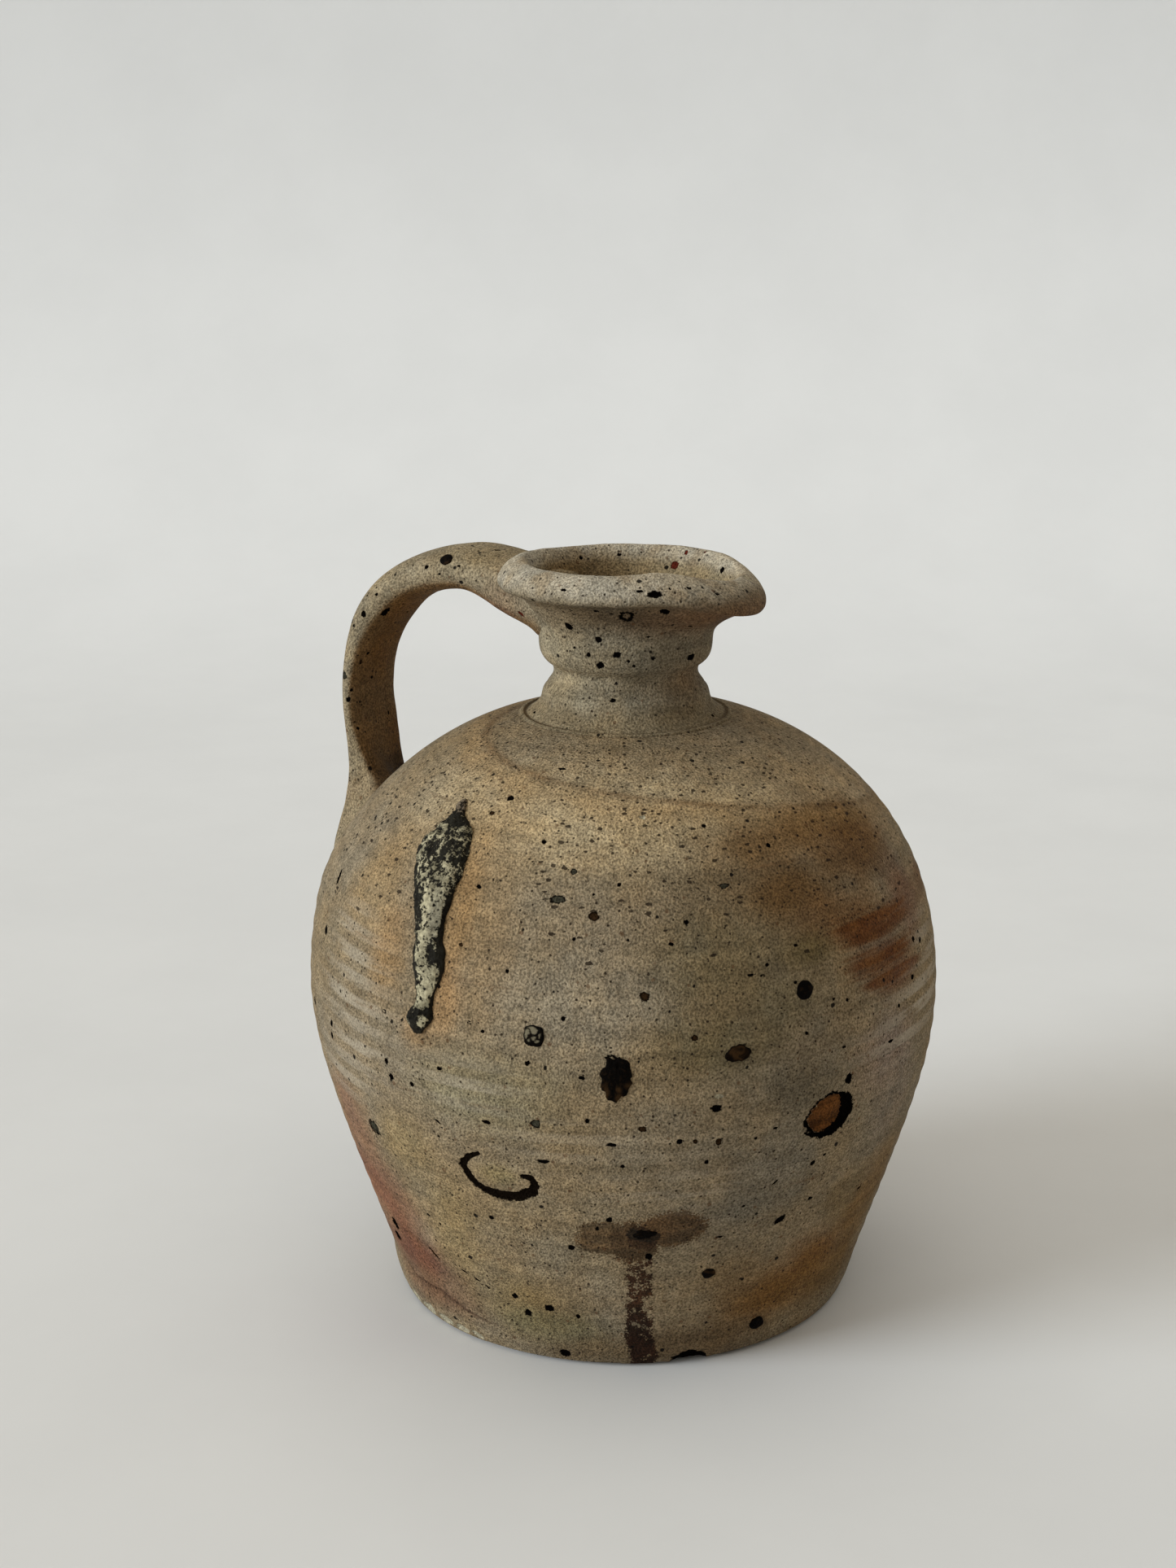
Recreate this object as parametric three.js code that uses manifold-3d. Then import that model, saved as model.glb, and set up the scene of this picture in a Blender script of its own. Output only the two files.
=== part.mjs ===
// A wood-fired stoneware jug: thrown body, luted neck with a pouring lip, pulled strap handle.
// Millimetres, +Z up, the base's centre at the origin, the lip along +X and the handle along -X.
import * as THREE from "three";
import { mergeVertices } from "three/addons/utils/BufferGeometryUtils.js";
import Module from "manifold-3d";

const wasm = await Module();
wasm.setup();

// Joints between pieces of clay
const JOINT_GAP = 0.3; // clearance left where two pieces are luted together

// Body: a thrown pot, closed in at the top to a flat seat for the neck
const BASE_RADIUS = 80;
const BASE_ROUND = 2.5; // worn edge round the foot
const BASE_LEAN = 0.31; // outward run of the wall for each millimetre it rises from the foot
const BASE_SWEEP = 55; // height over which that lean carries
const BELLY_RADIUS = 112;
const BELLY_HEIGHT = 114;
const BELLY_SWEEP_BELOW = 26;
const BELLY_SWEEP_ABOVE = 51;
const SHOULDER_HEIGHT = 207.5;
const SHOULDER_SWEEP = 39;
const SHOULDER_FALL = 0.22; // drop of the shoulder for each millimetre out from the neck
const BODY_WALL = 7.5;
const FLOOR_THICKNESS = 10;

// Neck: heights are above the shoulder
const FLANGE_RADIUS = 35.4; // foot ring that sits on the shoulder
const FLANGE_EDGE = 1.2;
const STEP_RADIUS = 28.8; // tooled step above the flange
const STEP_HEIGHT = 6.6;
const WAIST_RADIUS = 24.8;
const WAIST_HEIGHT = 13.8;
const CREASE_HEIGHT = 17.6; // sharp tuck under the collar
const COLLAR_RADIUS = 29.8;
const COLLAR_HEIGHT = 25;
const NECK_WALL = 6.3;
const THROAT_RADIUS = 22.5; // hole through the shoulder, shared by body and neck

// Rim, rolled outward, with a lip pulled out at the front
const RIM_RADIUS = 43.5;
const RIM_CREST_RADIUS = 37.2;
const RIM_HEIGHT = 53;
const RIM_ROLL = 9; // height of the roll from its underside to its crest
const MOUTH_RADIUS = 31;
const LIP_REACH = 6.8;
const LIP_DROOP = 3.8;
const LIP_HALF_ANGLE = 52;

// Handle: a strap pulled from the rim down to the shoulder
const HANDLE_WIDTH = 31;
const HANDLE_THICKNESS = 9;
const HANDLE_NECK_THICKNESS = 30; // where it is pressed on to the neck
const HANDLE_ARCH_THICKNESS = 16;
const HANDLE_BEND_THICKNESS = 12.5;
const HANDLE_ROOT_THICKNESS = 24;
const HANDLE_ROOT_WIDTH = 38;
const HANDLE_NECK_DROP = 15; // middle of the upper joint below the rim
const HANDLE_ARCH_RUN = 28; // from the collar out to the top of the arch
const HANDLE_ARCH_DROP = 8; // centre line of the arch below the rim
const HANDLE_BOW_DROP = 6; // widest place of the strap below the shoulder
const HANDLE_ROOT_DROP = 77; // end of the tail below the shoulder
const HANDLE_INSET = 3; // strap's widest place inside the body's radius at the root
const HANDLE_TUCK = 12.5; // depth of the tail's end inside the body's outside

// Kiln drip: a run of slag on the left of the shoulder
const DRIP_TOP_DROP = 18;
const DRIP_FALL = 66;
const DRIP_RISE = 4.6; // how far it stands off the clay
const DRIP_TOP_AZIMUTH = -109.4;
const DRIP_END_AZIMUTH = -99.6;
const DRIP_TIP_WIDTH = 5;
const DRIP_HEAD_WIDTH = 20;
const DRIP_RUN_WIDTH = 14;
const DRIP_NECK_WIDTH = 8;
const DRIP_BULB_WIDTH = 10.5;

// Iron in the clay: nodules that melted in the kiln, each in a pit of its own
const NODULE_DEPTH = 2.4; // half the thickness of a nodule
const NODULE_CROWN = 0.7; // how far it stands out of the clay
const BODY_NODULES = [
  { name: "iron_blob_front", height: 115.7, azimuth: -64.5, wide: 9.6, tall: 14 },
  { name: "iron_bead_left", height: 128.6, azimuth: -78.3, wide: 7, tall: 7 },
  { name: "iron_bead_right", height: 138.6, azimuth: -31.2, wide: 5.8, tall: 5.8 },
  { name: "iron_bead_brown", height: 122.1, azimuth: -44.1, wide: 8.4, tall: 5.2 },
  { name: "iron_bleed_core", height: 58.2, azimuth: -59.8, wide: 10.5, tall: 5 },
  { name: "iron_bead_low", height: 38.1, azimuth: -45.5, wide: 4.4, tall: 4.4 },
  { name: "iron_bead_foot", height: 12, azimuth: -31, wide: 5.6, tall: 5 },
];
const HANDLE_NODULE_SIZE = 4.4;
const HANDLE_NODULE_ALONG = 0.27; // share of the strap's length from the neck
const HANDLE_NODULE_ANGLE = 46; // round the strap, 0 at its front edge and 90 on its back

// Spall: a shallow hollow on the right of the belly where a nodule has popped out
const SPALL_HEIGHT = 94.4;
const SPALL_AZIMUTH = -25.8;
const SPALL_WIDE = 15;
const SPALL_TALL = 14;
const SPALL_DEPTH = 2.5;

// Fineness of the round surfaces
const BODY_SEGMENTS = 60;
const NECK_SEGMENTS = 48;
const HANDLE_SIDES = 18;
const HANDLE_STEPS = 26;
const DRIP_SIDES = 12;
const DRIP_STEPS = 22;

const seatHeight = SHOULDER_HEIGHT + JOINT_GAP;
const rimTop = seatHeight + RIM_HEIGHT;

// Solids from geometry, and geometry from solids
function solidFrom(geometry) {
  const bare = geometry.clone();
  bare.deleteAttribute("normal");
  bare.deleteAttribute("uv");
  const merged = mergeVertices(bare, 1e-4);
  return new wasm.Manifold(
    new wasm.Mesh({
      numProp: 3,
      vertProperties: new Float32Array(merged.attributes.position.array),
      triVerts: new Uint32Array(merged.index.array),
    }),
  );
}

function meshFrom(name, solid, material) {
  const data = solid.getMesh();
  const geometry = new THREE.BufferGeometry();
  geometry.setAttribute("position", new THREE.BufferAttribute(data.vertProperties, 3));
  geometry.setIndex(new THREE.BufferAttribute(data.triVerts, 1));
  geometry.computeVertexNormals();
  const mesh = new THREE.Mesh(geometry, material);
  mesh.name = name;
  return mesh;
}

// A turned solid from its outline of radius and height, bottom to top along the outside
function turned(outline, segments) {
  return new THREE.LatheGeometry(outline, segments).rotateX(Math.PI / 2);
}

// The outline moved outward by a distance along its own normals
function offset(outline, distance) {
  return outline.map((point, i) => {
    const before = outline[Math.max(i - 1, 0)];
    const after = outline[Math.min(i + 1, outline.length - 1)];
    const along = after.clone().sub(before).normalize();
    return new THREE.Vector2(point.x + along.y * distance, point.y - along.x * distance);
  });
}

// Body outline: foot, belly and shoulder, out from the worn edge and in to the neck's flange
const lowerWall = new THREE.CubicBezierCurve(
  new THREE.Vector2(BASE_RADIUS, BASE_ROUND),
  new THREE.Vector2(BASE_RADIUS + BASE_LEAN * BASE_SWEEP, BASE_SWEEP),
  new THREE.Vector2(BELLY_RADIUS, BELLY_HEIGHT - BELLY_SWEEP_BELOW),
  new THREE.Vector2(BELLY_RADIUS, BELLY_HEIGHT),
);
const upperWall = new THREE.CubicBezierCurve(
  new THREE.Vector2(BELLY_RADIUS, BELLY_HEIGHT),
  new THREE.Vector2(BELLY_RADIUS, BELLY_HEIGHT + BELLY_SWEEP_ABOVE),
  new THREE.Vector2(FLANGE_RADIUS + SHOULDER_SWEEP, SHOULDER_HEIGHT - SHOULDER_SWEEP * SHOULDER_FALL),
  new THREE.Vector2(FLANGE_RADIUS, SHOULDER_HEIGHT),
);
const wallOutline = [...lowerWall.getSpacedPoints(8), ...upperWall.getSpacedPoints(11).slice(1)];

// Radius of the clay's outside at a height
function radiusAt(height) {
  const above = wallOutline.findIndex((point) => point.y >= height);
  const top = wallOutline[Math.max(above, 1)];
  const bottom = wallOutline[Math.max(above, 1) - 1];
  return THREE.MathUtils.mapLinear(height, bottom.y, top.y, bottom.x, top.x);
}

// A point on the body's outside with the direction straight out of the clay there
function onBody(height, azimuthDegrees) {
  const azimuth = THREE.MathUtils.degToRad(azimuthDegrees);
  const slope = (radiusAt(height + 1) - radiusAt(height - 1)) / 2;
  const radial = new THREE.Vector3(Math.cos(azimuth), Math.sin(azimuth), 0);
  const point = radial.clone().multiplyScalar(radiusAt(height)).setZ(height);
  const outward = radial.clone().setZ(-slope).normalize();
  return { point, outward };
}

function bodySolid() {
  const inside = offset(wallOutline, -BODY_WALL).filter((point) => point.y > FLOOR_THICKNESS);
  const inner = inside.filter((point) => point.x > THROAT_RADIUS + BODY_WALL / 2).reverse();
  const floorRadius = inner[inner.length - 1].x - BODY_WALL / 2;
  const outline = [
    new THREE.Vector2(0, 0),
    new THREE.Vector2(BASE_RADIUS - BASE_ROUND, 0),
    ...wallOutline,
    new THREE.Vector2(THROAT_RADIUS, SHOULDER_HEIGHT),
    new THREE.Vector2(THROAT_RADIUS, SHOULDER_HEIGHT - BODY_WALL),
    ...inner,
    new THREE.Vector2(floorRadius, FLOOR_THICKNESS),
    new THREE.Vector2(0, FLOOR_THICKNESS),
  ];
  return solidFrom(turned(outline, BODY_SEGMENTS));
}

// Everything inside the body's outside plus the joint gap, for cutting a piece to sit on it
function bodyEnvelope() {
  const outline = [
    new THREE.Vector2(0, 0),
    ...offset(wallOutline, JOINT_GAP),
    new THREE.Vector2(FLANGE_RADIUS, seatHeight),
    new THREE.Vector2(0, seatHeight),
  ];
  return solidFrom(turned(outline, BODY_SEGMENTS));
}

// Neck outline, from the flange up over the collar to the crest of the rim
function neckOutside() {
  const path = new THREE.Path();
  path.moveTo(FLANGE_RADIUS, 0);
  path.lineTo(FLANGE_RADIUS, FLANGE_EDGE);
  path.quadraticCurveTo(STEP_RADIUS, 2 * FLANGE_EDGE, STEP_RADIUS, STEP_HEIGHT);
  path.bezierCurveTo(
    STEP_RADIUS, (STEP_HEIGHT + WAIST_HEIGHT) / 2,
    WAIST_RADIUS, (STEP_HEIGHT + WAIST_HEIGHT) / 2,
    WAIST_RADIUS, WAIST_HEIGHT,
  );
  const creaseRadius = (2 * WAIST_RADIUS + COLLAR_RADIUS) / 3;
  path.quadraticCurveTo(WAIST_RADIUS, CREASE_HEIGHT, creaseRadius, CREASE_HEIGHT);
  path.quadraticCurveTo(COLLAR_RADIUS, (CREASE_HEIGHT + COLLAR_HEIGHT) / 2, COLLAR_RADIUS, COLLAR_HEIGHT);
  const rollUnder = RIM_HEIGHT - RIM_ROLL;
  path.bezierCurveTo(
    COLLAR_RADIUS, (COLLAR_HEIGHT + rollUnder) / 2,
    RIM_CREST_RADIUS, rollUnder - RIM_ROLL / 4,
    (RIM_CREST_RADIUS + RIM_RADIUS) / 2, rollUnder,
  );
  path.bezierCurveTo(
    RIM_RADIUS, rollUnder + RIM_ROLL / 8,
    RIM_RADIUS, RIM_HEIGHT,
    RIM_CREST_RADIUS, RIM_HEIGHT,
  );
  return path.getPoints(4).map((point) => point.setY(point.y + seatHeight));
}

function neckInside() {
  const boreRadius = WAIST_RADIUS - NECK_WALL;
  const path = new THREE.Path();
  path.moveTo(RIM_CREST_RADIUS, RIM_HEIGHT);
  path.quadraticCurveTo(MOUTH_RADIUS, RIM_HEIGHT, MOUTH_RADIUS, RIM_HEIGHT - RIM_ROLL / 2);
  path.bezierCurveTo(
    MOUTH_RADIUS, (RIM_HEIGHT + COLLAR_HEIGHT) / 2,
    boreRadius, COLLAR_HEIGHT,
    boreRadius, WAIST_HEIGHT,
  );
  path.quadraticCurveTo(boreRadius, STEP_HEIGHT, THROAT_RADIUS, 0);
  return path.getPoints(4).map((point) => point.setY(point.y + seatHeight));
}

// The lip: clay above the collar drawn out and down about the +X direction
function pullLip(geometry) {
  const position = geometry.attributes.position;
  const start = seatHeight + COLLAR_HEIGHT;
  const halfAngle = THREE.MathUtils.degToRad(LIP_HALF_ANGLE);
  for (let i = 0; i < position.count; i++) {
    const point = new THREE.Vector3().fromBufferAttribute(position, i);
    const angle = Math.abs(Math.atan2(point.y, point.x));
    const round = 1 - THREE.MathUtils.smoothstep(angle, 0, halfAngle);
    const pull = round * THREE.MathUtils.smoothstep(point.z, start, rimTop - RIM_ROLL);
    const radius = Math.hypot(point.x, point.y);
    const grow = (radius + LIP_REACH * pull) / radius;
    const droop = LIP_DROOP * pull * (radius / RIM_CREST_RADIUS) ** 2;
    position.setXYZ(i, point.x * grow, point.y * grow, point.z - droop);
  }
  return geometry;
}

function neckSolid() {
  const inside = neckInside();
  const outline = [...neckOutside(), ...inside.slice(1), new THREE.Vector2(FLANGE_RADIUS, seatHeight)];
  return solidFrom(pullLip(turned(outline, NECK_SEGMENTS)));
}

// Everything inside the neck's outside plus the joint gap, and the air over the mouth
function neckEnvelope() {
  const outside = offset(neckOutside(), JOINT_GAP);
  const over = rimTop + HANDLE_NECK_THICKNESS;
  const outline = [
    new THREE.Vector2(0, seatHeight - JOINT_GAP),
    new THREE.Vector2(FLANGE_RADIUS + JOINT_GAP, seatHeight - JOINT_GAP),
    ...outside,
    new THREE.Vector2(RIM_CREST_RADIUS, over),
    new THREE.Vector2(0, over),
  ];
  return solidFrom(turned(outline, NECK_SEGMENTS));
}

// A size that eases from stop to stop along a length, each stop a share and a size
function between(stops, share) {
  const next = Math.max(stops.findIndex((stop) => stop[0] >= share), 1);
  const [fromShare, fromSize] = stops[next - 1];
  const [toShare, toSize] = stops[next];
  return THREE.MathUtils.lerp(fromSize, toSize, THREE.MathUtils.smoothstep(share, fromShare, toShare));
}

// A point round an oval section, which has a centre, two half axes and how round its ends are
function ringPoint(ring, angle) {
  const c = Math.cos(angle);
  const s = Math.sin(angle);
  const across = Math.sign(c) * Math.abs(c) ** ring.roundness;
  const through = Math.sign(s) * Math.abs(s) ** ring.roundness;
  const point = ring.centre.clone();
  return point.addScaledVector(ring.across, across).addScaledVector(ring.through, through);
}

// A closed tube of oval sections
function lofted(rings, sides) {
  const positions = [];
  const indices = [];
  rings.forEach((ring) => {
    for (let k = 0; k < sides; k++) {
      positions.push(...ringPoint(ring, (2 * Math.PI * k) / sides).toArray());
    }
  });
  for (let i = 0; i + 1 < rings.length; i++) {
    for (let k = 0; k < sides; k++) {
      const a = i * sides + k;
      const b = i * sides + ((k + 1) % sides);
      indices.push(a, b, b + sides, a, b + sides, a + sides);
    }
  }
  const last = (rings.length - 1) * sides;
  const firstCentre = positions.length / 3;
  positions.push(...rings[0].centre.toArray(), ...rings[rings.length - 1].centre.toArray());
  for (let k = 0; k < sides; k++) {
    const next = (k + 1) % sides;
    indices.push(firstCentre, next, k, firstCentre + 1, last + k, last + next);
  }
  const geometry = new THREE.BufferGeometry();
  geometry.setAttribute("position", new THREE.Float32BufferAttribute(positions, 3));
  geometry.setIndex(indices);
  return geometry;
}

// Handle centre line, in the plane of the lip and the handle: neck, arch, bow and root
const rootHeight = SHOULDER_HEIGHT - HANDLE_ROOT_DROP;
const tailReach = radiusAt(rootHeight) - HANDLE_TUCK;
const bowReach = radiusAt(rootHeight) - HANDLE_INSET;
const bowHeight = SHOULDER_HEIGHT - HANDLE_BOW_DROP;
const archReach = COLLAR_RADIUS + HANDLE_ARCH_RUN;
const archHeight = rimTop - HANDLE_ARCH_DROP;
const neckHeight = rimTop - HANDLE_NECK_DROP;
const handlePoint = (reach, height) => new THREE.Vector3(-reach, 0, height);
const handlePath = new THREE.CurvePath();
handlePath.add(
  new THREE.CubicBezierCurve3(
    handlePoint(WAIST_RADIUS / 2, neckHeight),
    handlePoint(COLLAR_RADIUS, neckHeight),
    handlePoint((COLLAR_RADIUS + archReach) / 2, archHeight),
    handlePoint(archReach, archHeight),
  ),
);
handlePath.add(
  new THREE.CubicBezierCurve3(
    handlePoint(archReach, archHeight),
    handlePoint((2 * archReach + 3 * bowReach) / 5, archHeight),
    handlePoint(bowReach, (3 * archHeight + bowHeight) / 4),
    handlePoint(bowReach, bowHeight),
  ),
);
handlePath.add(
  new THREE.CubicBezierCurve3(
    handlePoint(bowReach, bowHeight),
    handlePoint(bowReach, (3 * bowHeight + rootHeight) / 4),
    handlePoint((bowReach + tailReach) / 2, (bowHeight + rootHeight) / 2),
    handlePoint(tailReach, rootHeight),
  ),
);

// The strap's ring at a share of its length
const STRAP_THICKNESS = [
  [0, HANDLE_NECK_THICKNESS],
  [0.08, HANDLE_NECK_THICKNESS],
  [0.22, HANDLE_ARCH_THICKNESS],
  [0.4, HANDLE_BEND_THICKNESS],
  [0.55, HANDLE_THICKNESS],
  [0.72, HANDLE_THICKNESS],
  [0.9, HANDLE_ROOT_THICKNESS],
  [1, HANDLE_ROOT_THICKNESS],
];
function strapRing(share) {
  const centre = handlePath.getPointAt(share);
  const along = handlePath.getTangentAt(share);
  const outward = new THREE.Vector3(0, 1, 0).cross(along).normalize();
  const flare = THREE.MathUtils.smoothstep(share, 0.7, 1);
  const width = THREE.MathUtils.lerp(HANDLE_WIDTH, HANDLE_ROOT_WIDTH, flare);
  const thickness = between(STRAP_THICKNESS, share);
  return {
    centre,
    across: new THREE.Vector3(0, -width / 2, 0),
    through: outward.multiplyScalar(thickness / 2),
    roundness: 0.8,
  };
}

function handleSolid() {
  const rings = [];
  for (let i = 0; i <= HANDLE_STEPS; i++) {
    rings.push(strapRing(i / HANDLE_STEPS));
  }
  const strap = solidFrom(lofted(rings, HANDLE_SIDES));
  return strap.subtract(neckEnvelope()).subtract(bodyEnvelope());
}

// Drip: rings down the shoulder, half sunk, then cut to lie on the clay
const DRIP_WIDTHS = [
  [0, DRIP_TIP_WIDTH],
  [0.15, DRIP_HEAD_WIDTH],
  [0.3, DRIP_HEAD_WIDTH],
  [0.5, DRIP_RUN_WIDTH],
  [0.7, DRIP_RUN_WIDTH],
  [0.85, DRIP_NECK_WIDTH],
  [0.94, DRIP_BULB_WIDTH],
  [1, DRIP_TIP_WIDTH],
];
function dripSolid() {
  const rings = [];
  for (let i = 0; i <= DRIP_STEPS; i++) {
    const share = i / DRIP_STEPS;
    const height = SHOULDER_HEIGHT - DRIP_TOP_DROP - DRIP_FALL * share;
    const azimuth = THREE.MathUtils.lerp(DRIP_END_AZIMUTH, DRIP_TOP_AZIMUTH, (1 - share) ** 3);
    const { point, outward } = onBody(height, azimuth);
    const width = between(DRIP_WIDTHS, share);
    const side = new THREE.Vector3(0, 0, 1).cross(outward).normalize();
    rings.push({
      centre: point,
      across: side.multiplyScalar(width / 2),
      through: outward.multiplyScalar((DRIP_RISE * width) / DRIP_HEAD_WIDTH + JOINT_GAP),
      roundness: 1,
    });
  }
  return solidFrom(lofted(rings, DRIP_SIDES)).subtract(bodyEnvelope());
}

// A squashed ball let into the clay, with its flat way along the surface
function ball(point, outward, wide, tall, depth, sunk) {
  const geometry = new THREE.SphereGeometry(1, 12, 8);
  geometry.scale(wide / 2, depth, tall / 2);
  const side = new THREE.Vector3(0, 0, 1).cross(outward).normalize();
  const up = outward.clone().cross(side);
  geometry.applyMatrix4(new THREE.Matrix4().makeBasis(side.clone().negate(), outward, up));
  geometry.translate(...point.clone().addScaledVector(outward, -sunk).toArray());
  return solidFrom(geometry);
}

// A nodule and the pit it sits in
function nodule(point, outward, wide, tall) {
  const sunk = NODULE_DEPTH - NODULE_CROWN;
  const room = 2 * JOINT_GAP;
  return {
    solid: ball(point, outward, wide, tall, NODULE_DEPTH, sunk),
    pit: ball(point, outward, wide + room, tall + room, NODULE_DEPTH + JOINT_GAP, sunk),
  };
}

// Materials, as the fired clay shows
const clay = (colour) => new THREE.MeshStandardMaterial({ color: colour, roughness: 0.85, metalness: 0 });
const melt = (colour) => new THREE.MeshStandardMaterial({ color: colour, roughness: 0.4, metalness: 0 });

// Assembly
const jug = new THREE.Group();
jug.name = "jug";

let body = bodySolid();
const spall = onBody(SPALL_HEIGHT, SPALL_AZIMUTH);
body = body.subtract(ball(spall.point, spall.outward, SPALL_WIDE, SPALL_TALL, SPALL_DEPTH, 0));
BODY_NODULES.forEach(({ name, height, azimuth, wide, tall }) => {
  const seat = onBody(height, azimuth);
  const { solid, pit } = nodule(seat.point, seat.outward, wide, tall);
  body = body.subtract(pit);
  jug.add(meshFrom(name, solid, melt(0x2a211b)));
});

const strap = strapRing(HANDLE_NODULE_ALONG);
const strapAngle = THREE.MathUtils.degToRad(HANDLE_NODULE_ANGLE);
const strapFace = strap.across.clone().multiplyScalar(Math.cos(strapAngle) / strap.across.lengthSq());
strapFace.addScaledVector(strap.through, Math.sin(strapAngle) / strap.through.lengthSq()).normalize();
const bead = nodule(ringPoint(strap, strapAngle), strapFace, HANDLE_NODULE_SIZE, HANDLE_NODULE_SIZE);

jug.add(meshFrom("body", body, clay(0x9a8a6c)));
jug.add(meshFrom("neck", neckSolid(), clay(0xa39b86)));
jug.add(meshFrom("handle", handleSolid().subtract(bead.pit), clay(0x9c8c6c)));
jug.add(meshFrom("iron_bead_handle", bead.solid, melt(0x1f1a17)));
jug.add(meshFrom("kiln_drip", dripSolid(), melt(0x8f8c78)));

export default jug;
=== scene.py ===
"""A wood-fired stoneware jug on a pale sweep, with its lip to the right and its handle to the left."""

import math

import bpy
import numpy as np
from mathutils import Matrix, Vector, noise


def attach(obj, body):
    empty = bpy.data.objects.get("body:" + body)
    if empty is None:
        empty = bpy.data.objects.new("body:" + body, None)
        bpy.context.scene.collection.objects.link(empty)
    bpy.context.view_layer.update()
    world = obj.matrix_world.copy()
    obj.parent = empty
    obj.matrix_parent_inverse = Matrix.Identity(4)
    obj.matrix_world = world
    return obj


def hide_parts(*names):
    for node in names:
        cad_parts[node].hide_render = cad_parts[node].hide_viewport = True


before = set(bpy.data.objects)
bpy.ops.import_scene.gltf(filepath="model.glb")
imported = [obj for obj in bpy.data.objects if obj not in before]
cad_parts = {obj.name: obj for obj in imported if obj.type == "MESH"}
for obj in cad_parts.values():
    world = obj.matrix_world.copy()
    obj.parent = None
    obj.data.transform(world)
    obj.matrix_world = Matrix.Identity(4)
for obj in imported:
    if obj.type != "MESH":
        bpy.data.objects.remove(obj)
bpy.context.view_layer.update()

MM = 0.001

# Body sizes, in millimetres
BASE_RADIUS = 80.0
BELLY_RADIUS, BELLY_HEIGHT = 112.0, 114.0
FLANGE_RADIUS, SHOULDER_HEIGHT = 35.4, 207.5
BODY_WALL, WALL_SKIN, FLOOR_THICKNESS, THROAT_RADIUS = 7.5, 3.0, 10.0, 22.5
RIDGE_PITCH, RIDGE_HEIGHT, LEAN = 7.4, 0.26, 0.9
BELLY_SLACK, FOOT_SPREAD, FOOT_BULGE, ROOT_BULGE = 1.9, 0.7, 1.2, 1.6
ROOT_AZIMUTH = -162
WHEEL_RADIUS, WHEEL_STEPS = 80.0, 72

# Neck sizes; heights are above its seat on the shoulder
NECK_SEAT = SHOULDER_HEIGHT + 0.3
RIM_CREST_RADIUS, RIM_HEIGHT, RIM_ROLL, COLLAR_HEIGHT = 37.2, 53.0, 9.0, 25.0
LIP_REACH, LIP_DROOP, LIP_HALF_ANGLE, THROAT_FILL = 5.6, 4.6, 52.0, 2.6
# Radius and height round the neck's section, from the ledge at its foot up the outside and down the throat
NECK_OUTLINE = (
    (37.3, -2.2), (37.1, -1.0), (36.6, -0.2), (35.9, 0.1), (35.2, 0.0), (34.7, -0.3), (34.2, -0.3), (33.7, 0.1),
    (33.0, 0.6), (32.2, 1.2), (31.3, 1.9), (30.5, 2.6), (29.7, 3.8), (29.1, 5.2), (28.8, 6.8), (28.4, 8.2),
    (27.75, 9.2), (27.2, 9.5), (27.2, 9.95), (26.3, 11.2), (25.2, 12.7), (24.75, 14.2), (24.85, 15.6), (25.3, 16.7),
    (25.9, 17.3), (26.8, 17.9), (28.2, 19.1), (29.3, 21), (29.8, 23.3), (29.9, 26), (29.9, 28.8), (30.4, 31.6),
    (31.6, 34.8), (33.6, 38.2), (36.2, 41.2), (38.6, 42.8), (40.6, 43.2), (42.4, 43.7), (43.6, 44.7), (43.9, 46.3),
    (43.2, 48.2), (41.7, 50.1), (39.8, 51.8), (37.8, 52.9), (36.1, 53.3), (34.8, 53.0), (33.7, 51.9), (32.6, 50.1),
    (31.5, 47.8), (30.4, 44.5), (28.6, 39.8), (26.0, 34.5), (23.0, 29.0), (20.6, 23.5), (19.0, 18.0), (18.5, 12.5),
    (19.2, 7.0), (21.0, 2.5), (22.5, -0.6),
)

# Handle sizes: thickness and width along the strap, as shares of its length
STRAP_THICKNESS = (
    (0, 21.5), (0.09, 20.5), (0.12, 18.6), (0.15, 16.6), (0.2, 15.4), (0.3, 15), (0.4, 14.5), (0.46, 12),
    (0.52, 9.6), (0.58, 8.2), (0.65, 7.2), (0.715, 7), (0.75, 8.2), (0.785, 10.8), (0.82, 14), (0.86, 18),
    (0.92, 22), (1, 25),
)
STRAP_WIDTH = (
    (0, 50), (0.03, 43), (0.06, 38), (0.09, 34.5), (0.13, 32), (0.2, 31), (0.72, 31), (0.78, 33.5), (0.83, 38),
    (0.88, 42), (0.95, 44), (1, 42),
)
STRAP_SIDES, STRAP_STEPS = 20, 34
# The strap's centre line, as distance out along -X and height: for each stretch two guides, its end and its points
STRAP_START, STRAP_START_TILT = (27, 241.8), math.radians(-12)
STRAP_STRETCHES = (
    ((36, 245.8), (47, 252.2), (58, 253.6), 60),
    ((84, 253.0), (104.2, 238), (105.6, 205), 60),
    ((105.6, 195), (102.8, 186), (102.7, 177), 40),
    ((102.6, 168), (102.8, 160), (102.6, 152), 40),
    ((102.4, 143), (99, 134), (95, 126), 40),
)
# How much thicker the strap gets along its near edge as it comes down to the shoulder, by height
ROOT_WEDGE = ((160, 9.5), (168, 9.5), (174, 6.8), (178, 4.3), (185, 1.6), (195, 0))
NECK_WRAP = 30

# Iron stands this far out of the clay, and reaches this far into it
IRON_CROWN, IRON_ROOT = 0.75, 1.6

# Camera, and the pixels of the photograph's frame
VIEW_AZIMUTH, VIEW_DISTANCE, VIEW_HEIGHT, VIEW_PITCH = 27.0, 792.1, 394.9, 15.1
FOCAL_PIXELS, AXIS_X, HORIZON_Y = 2895.0, 769.0, 963.5
LENS, SENSOR, FRAME_SHIFT = 54.08, 36.0, -0.0241

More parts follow.
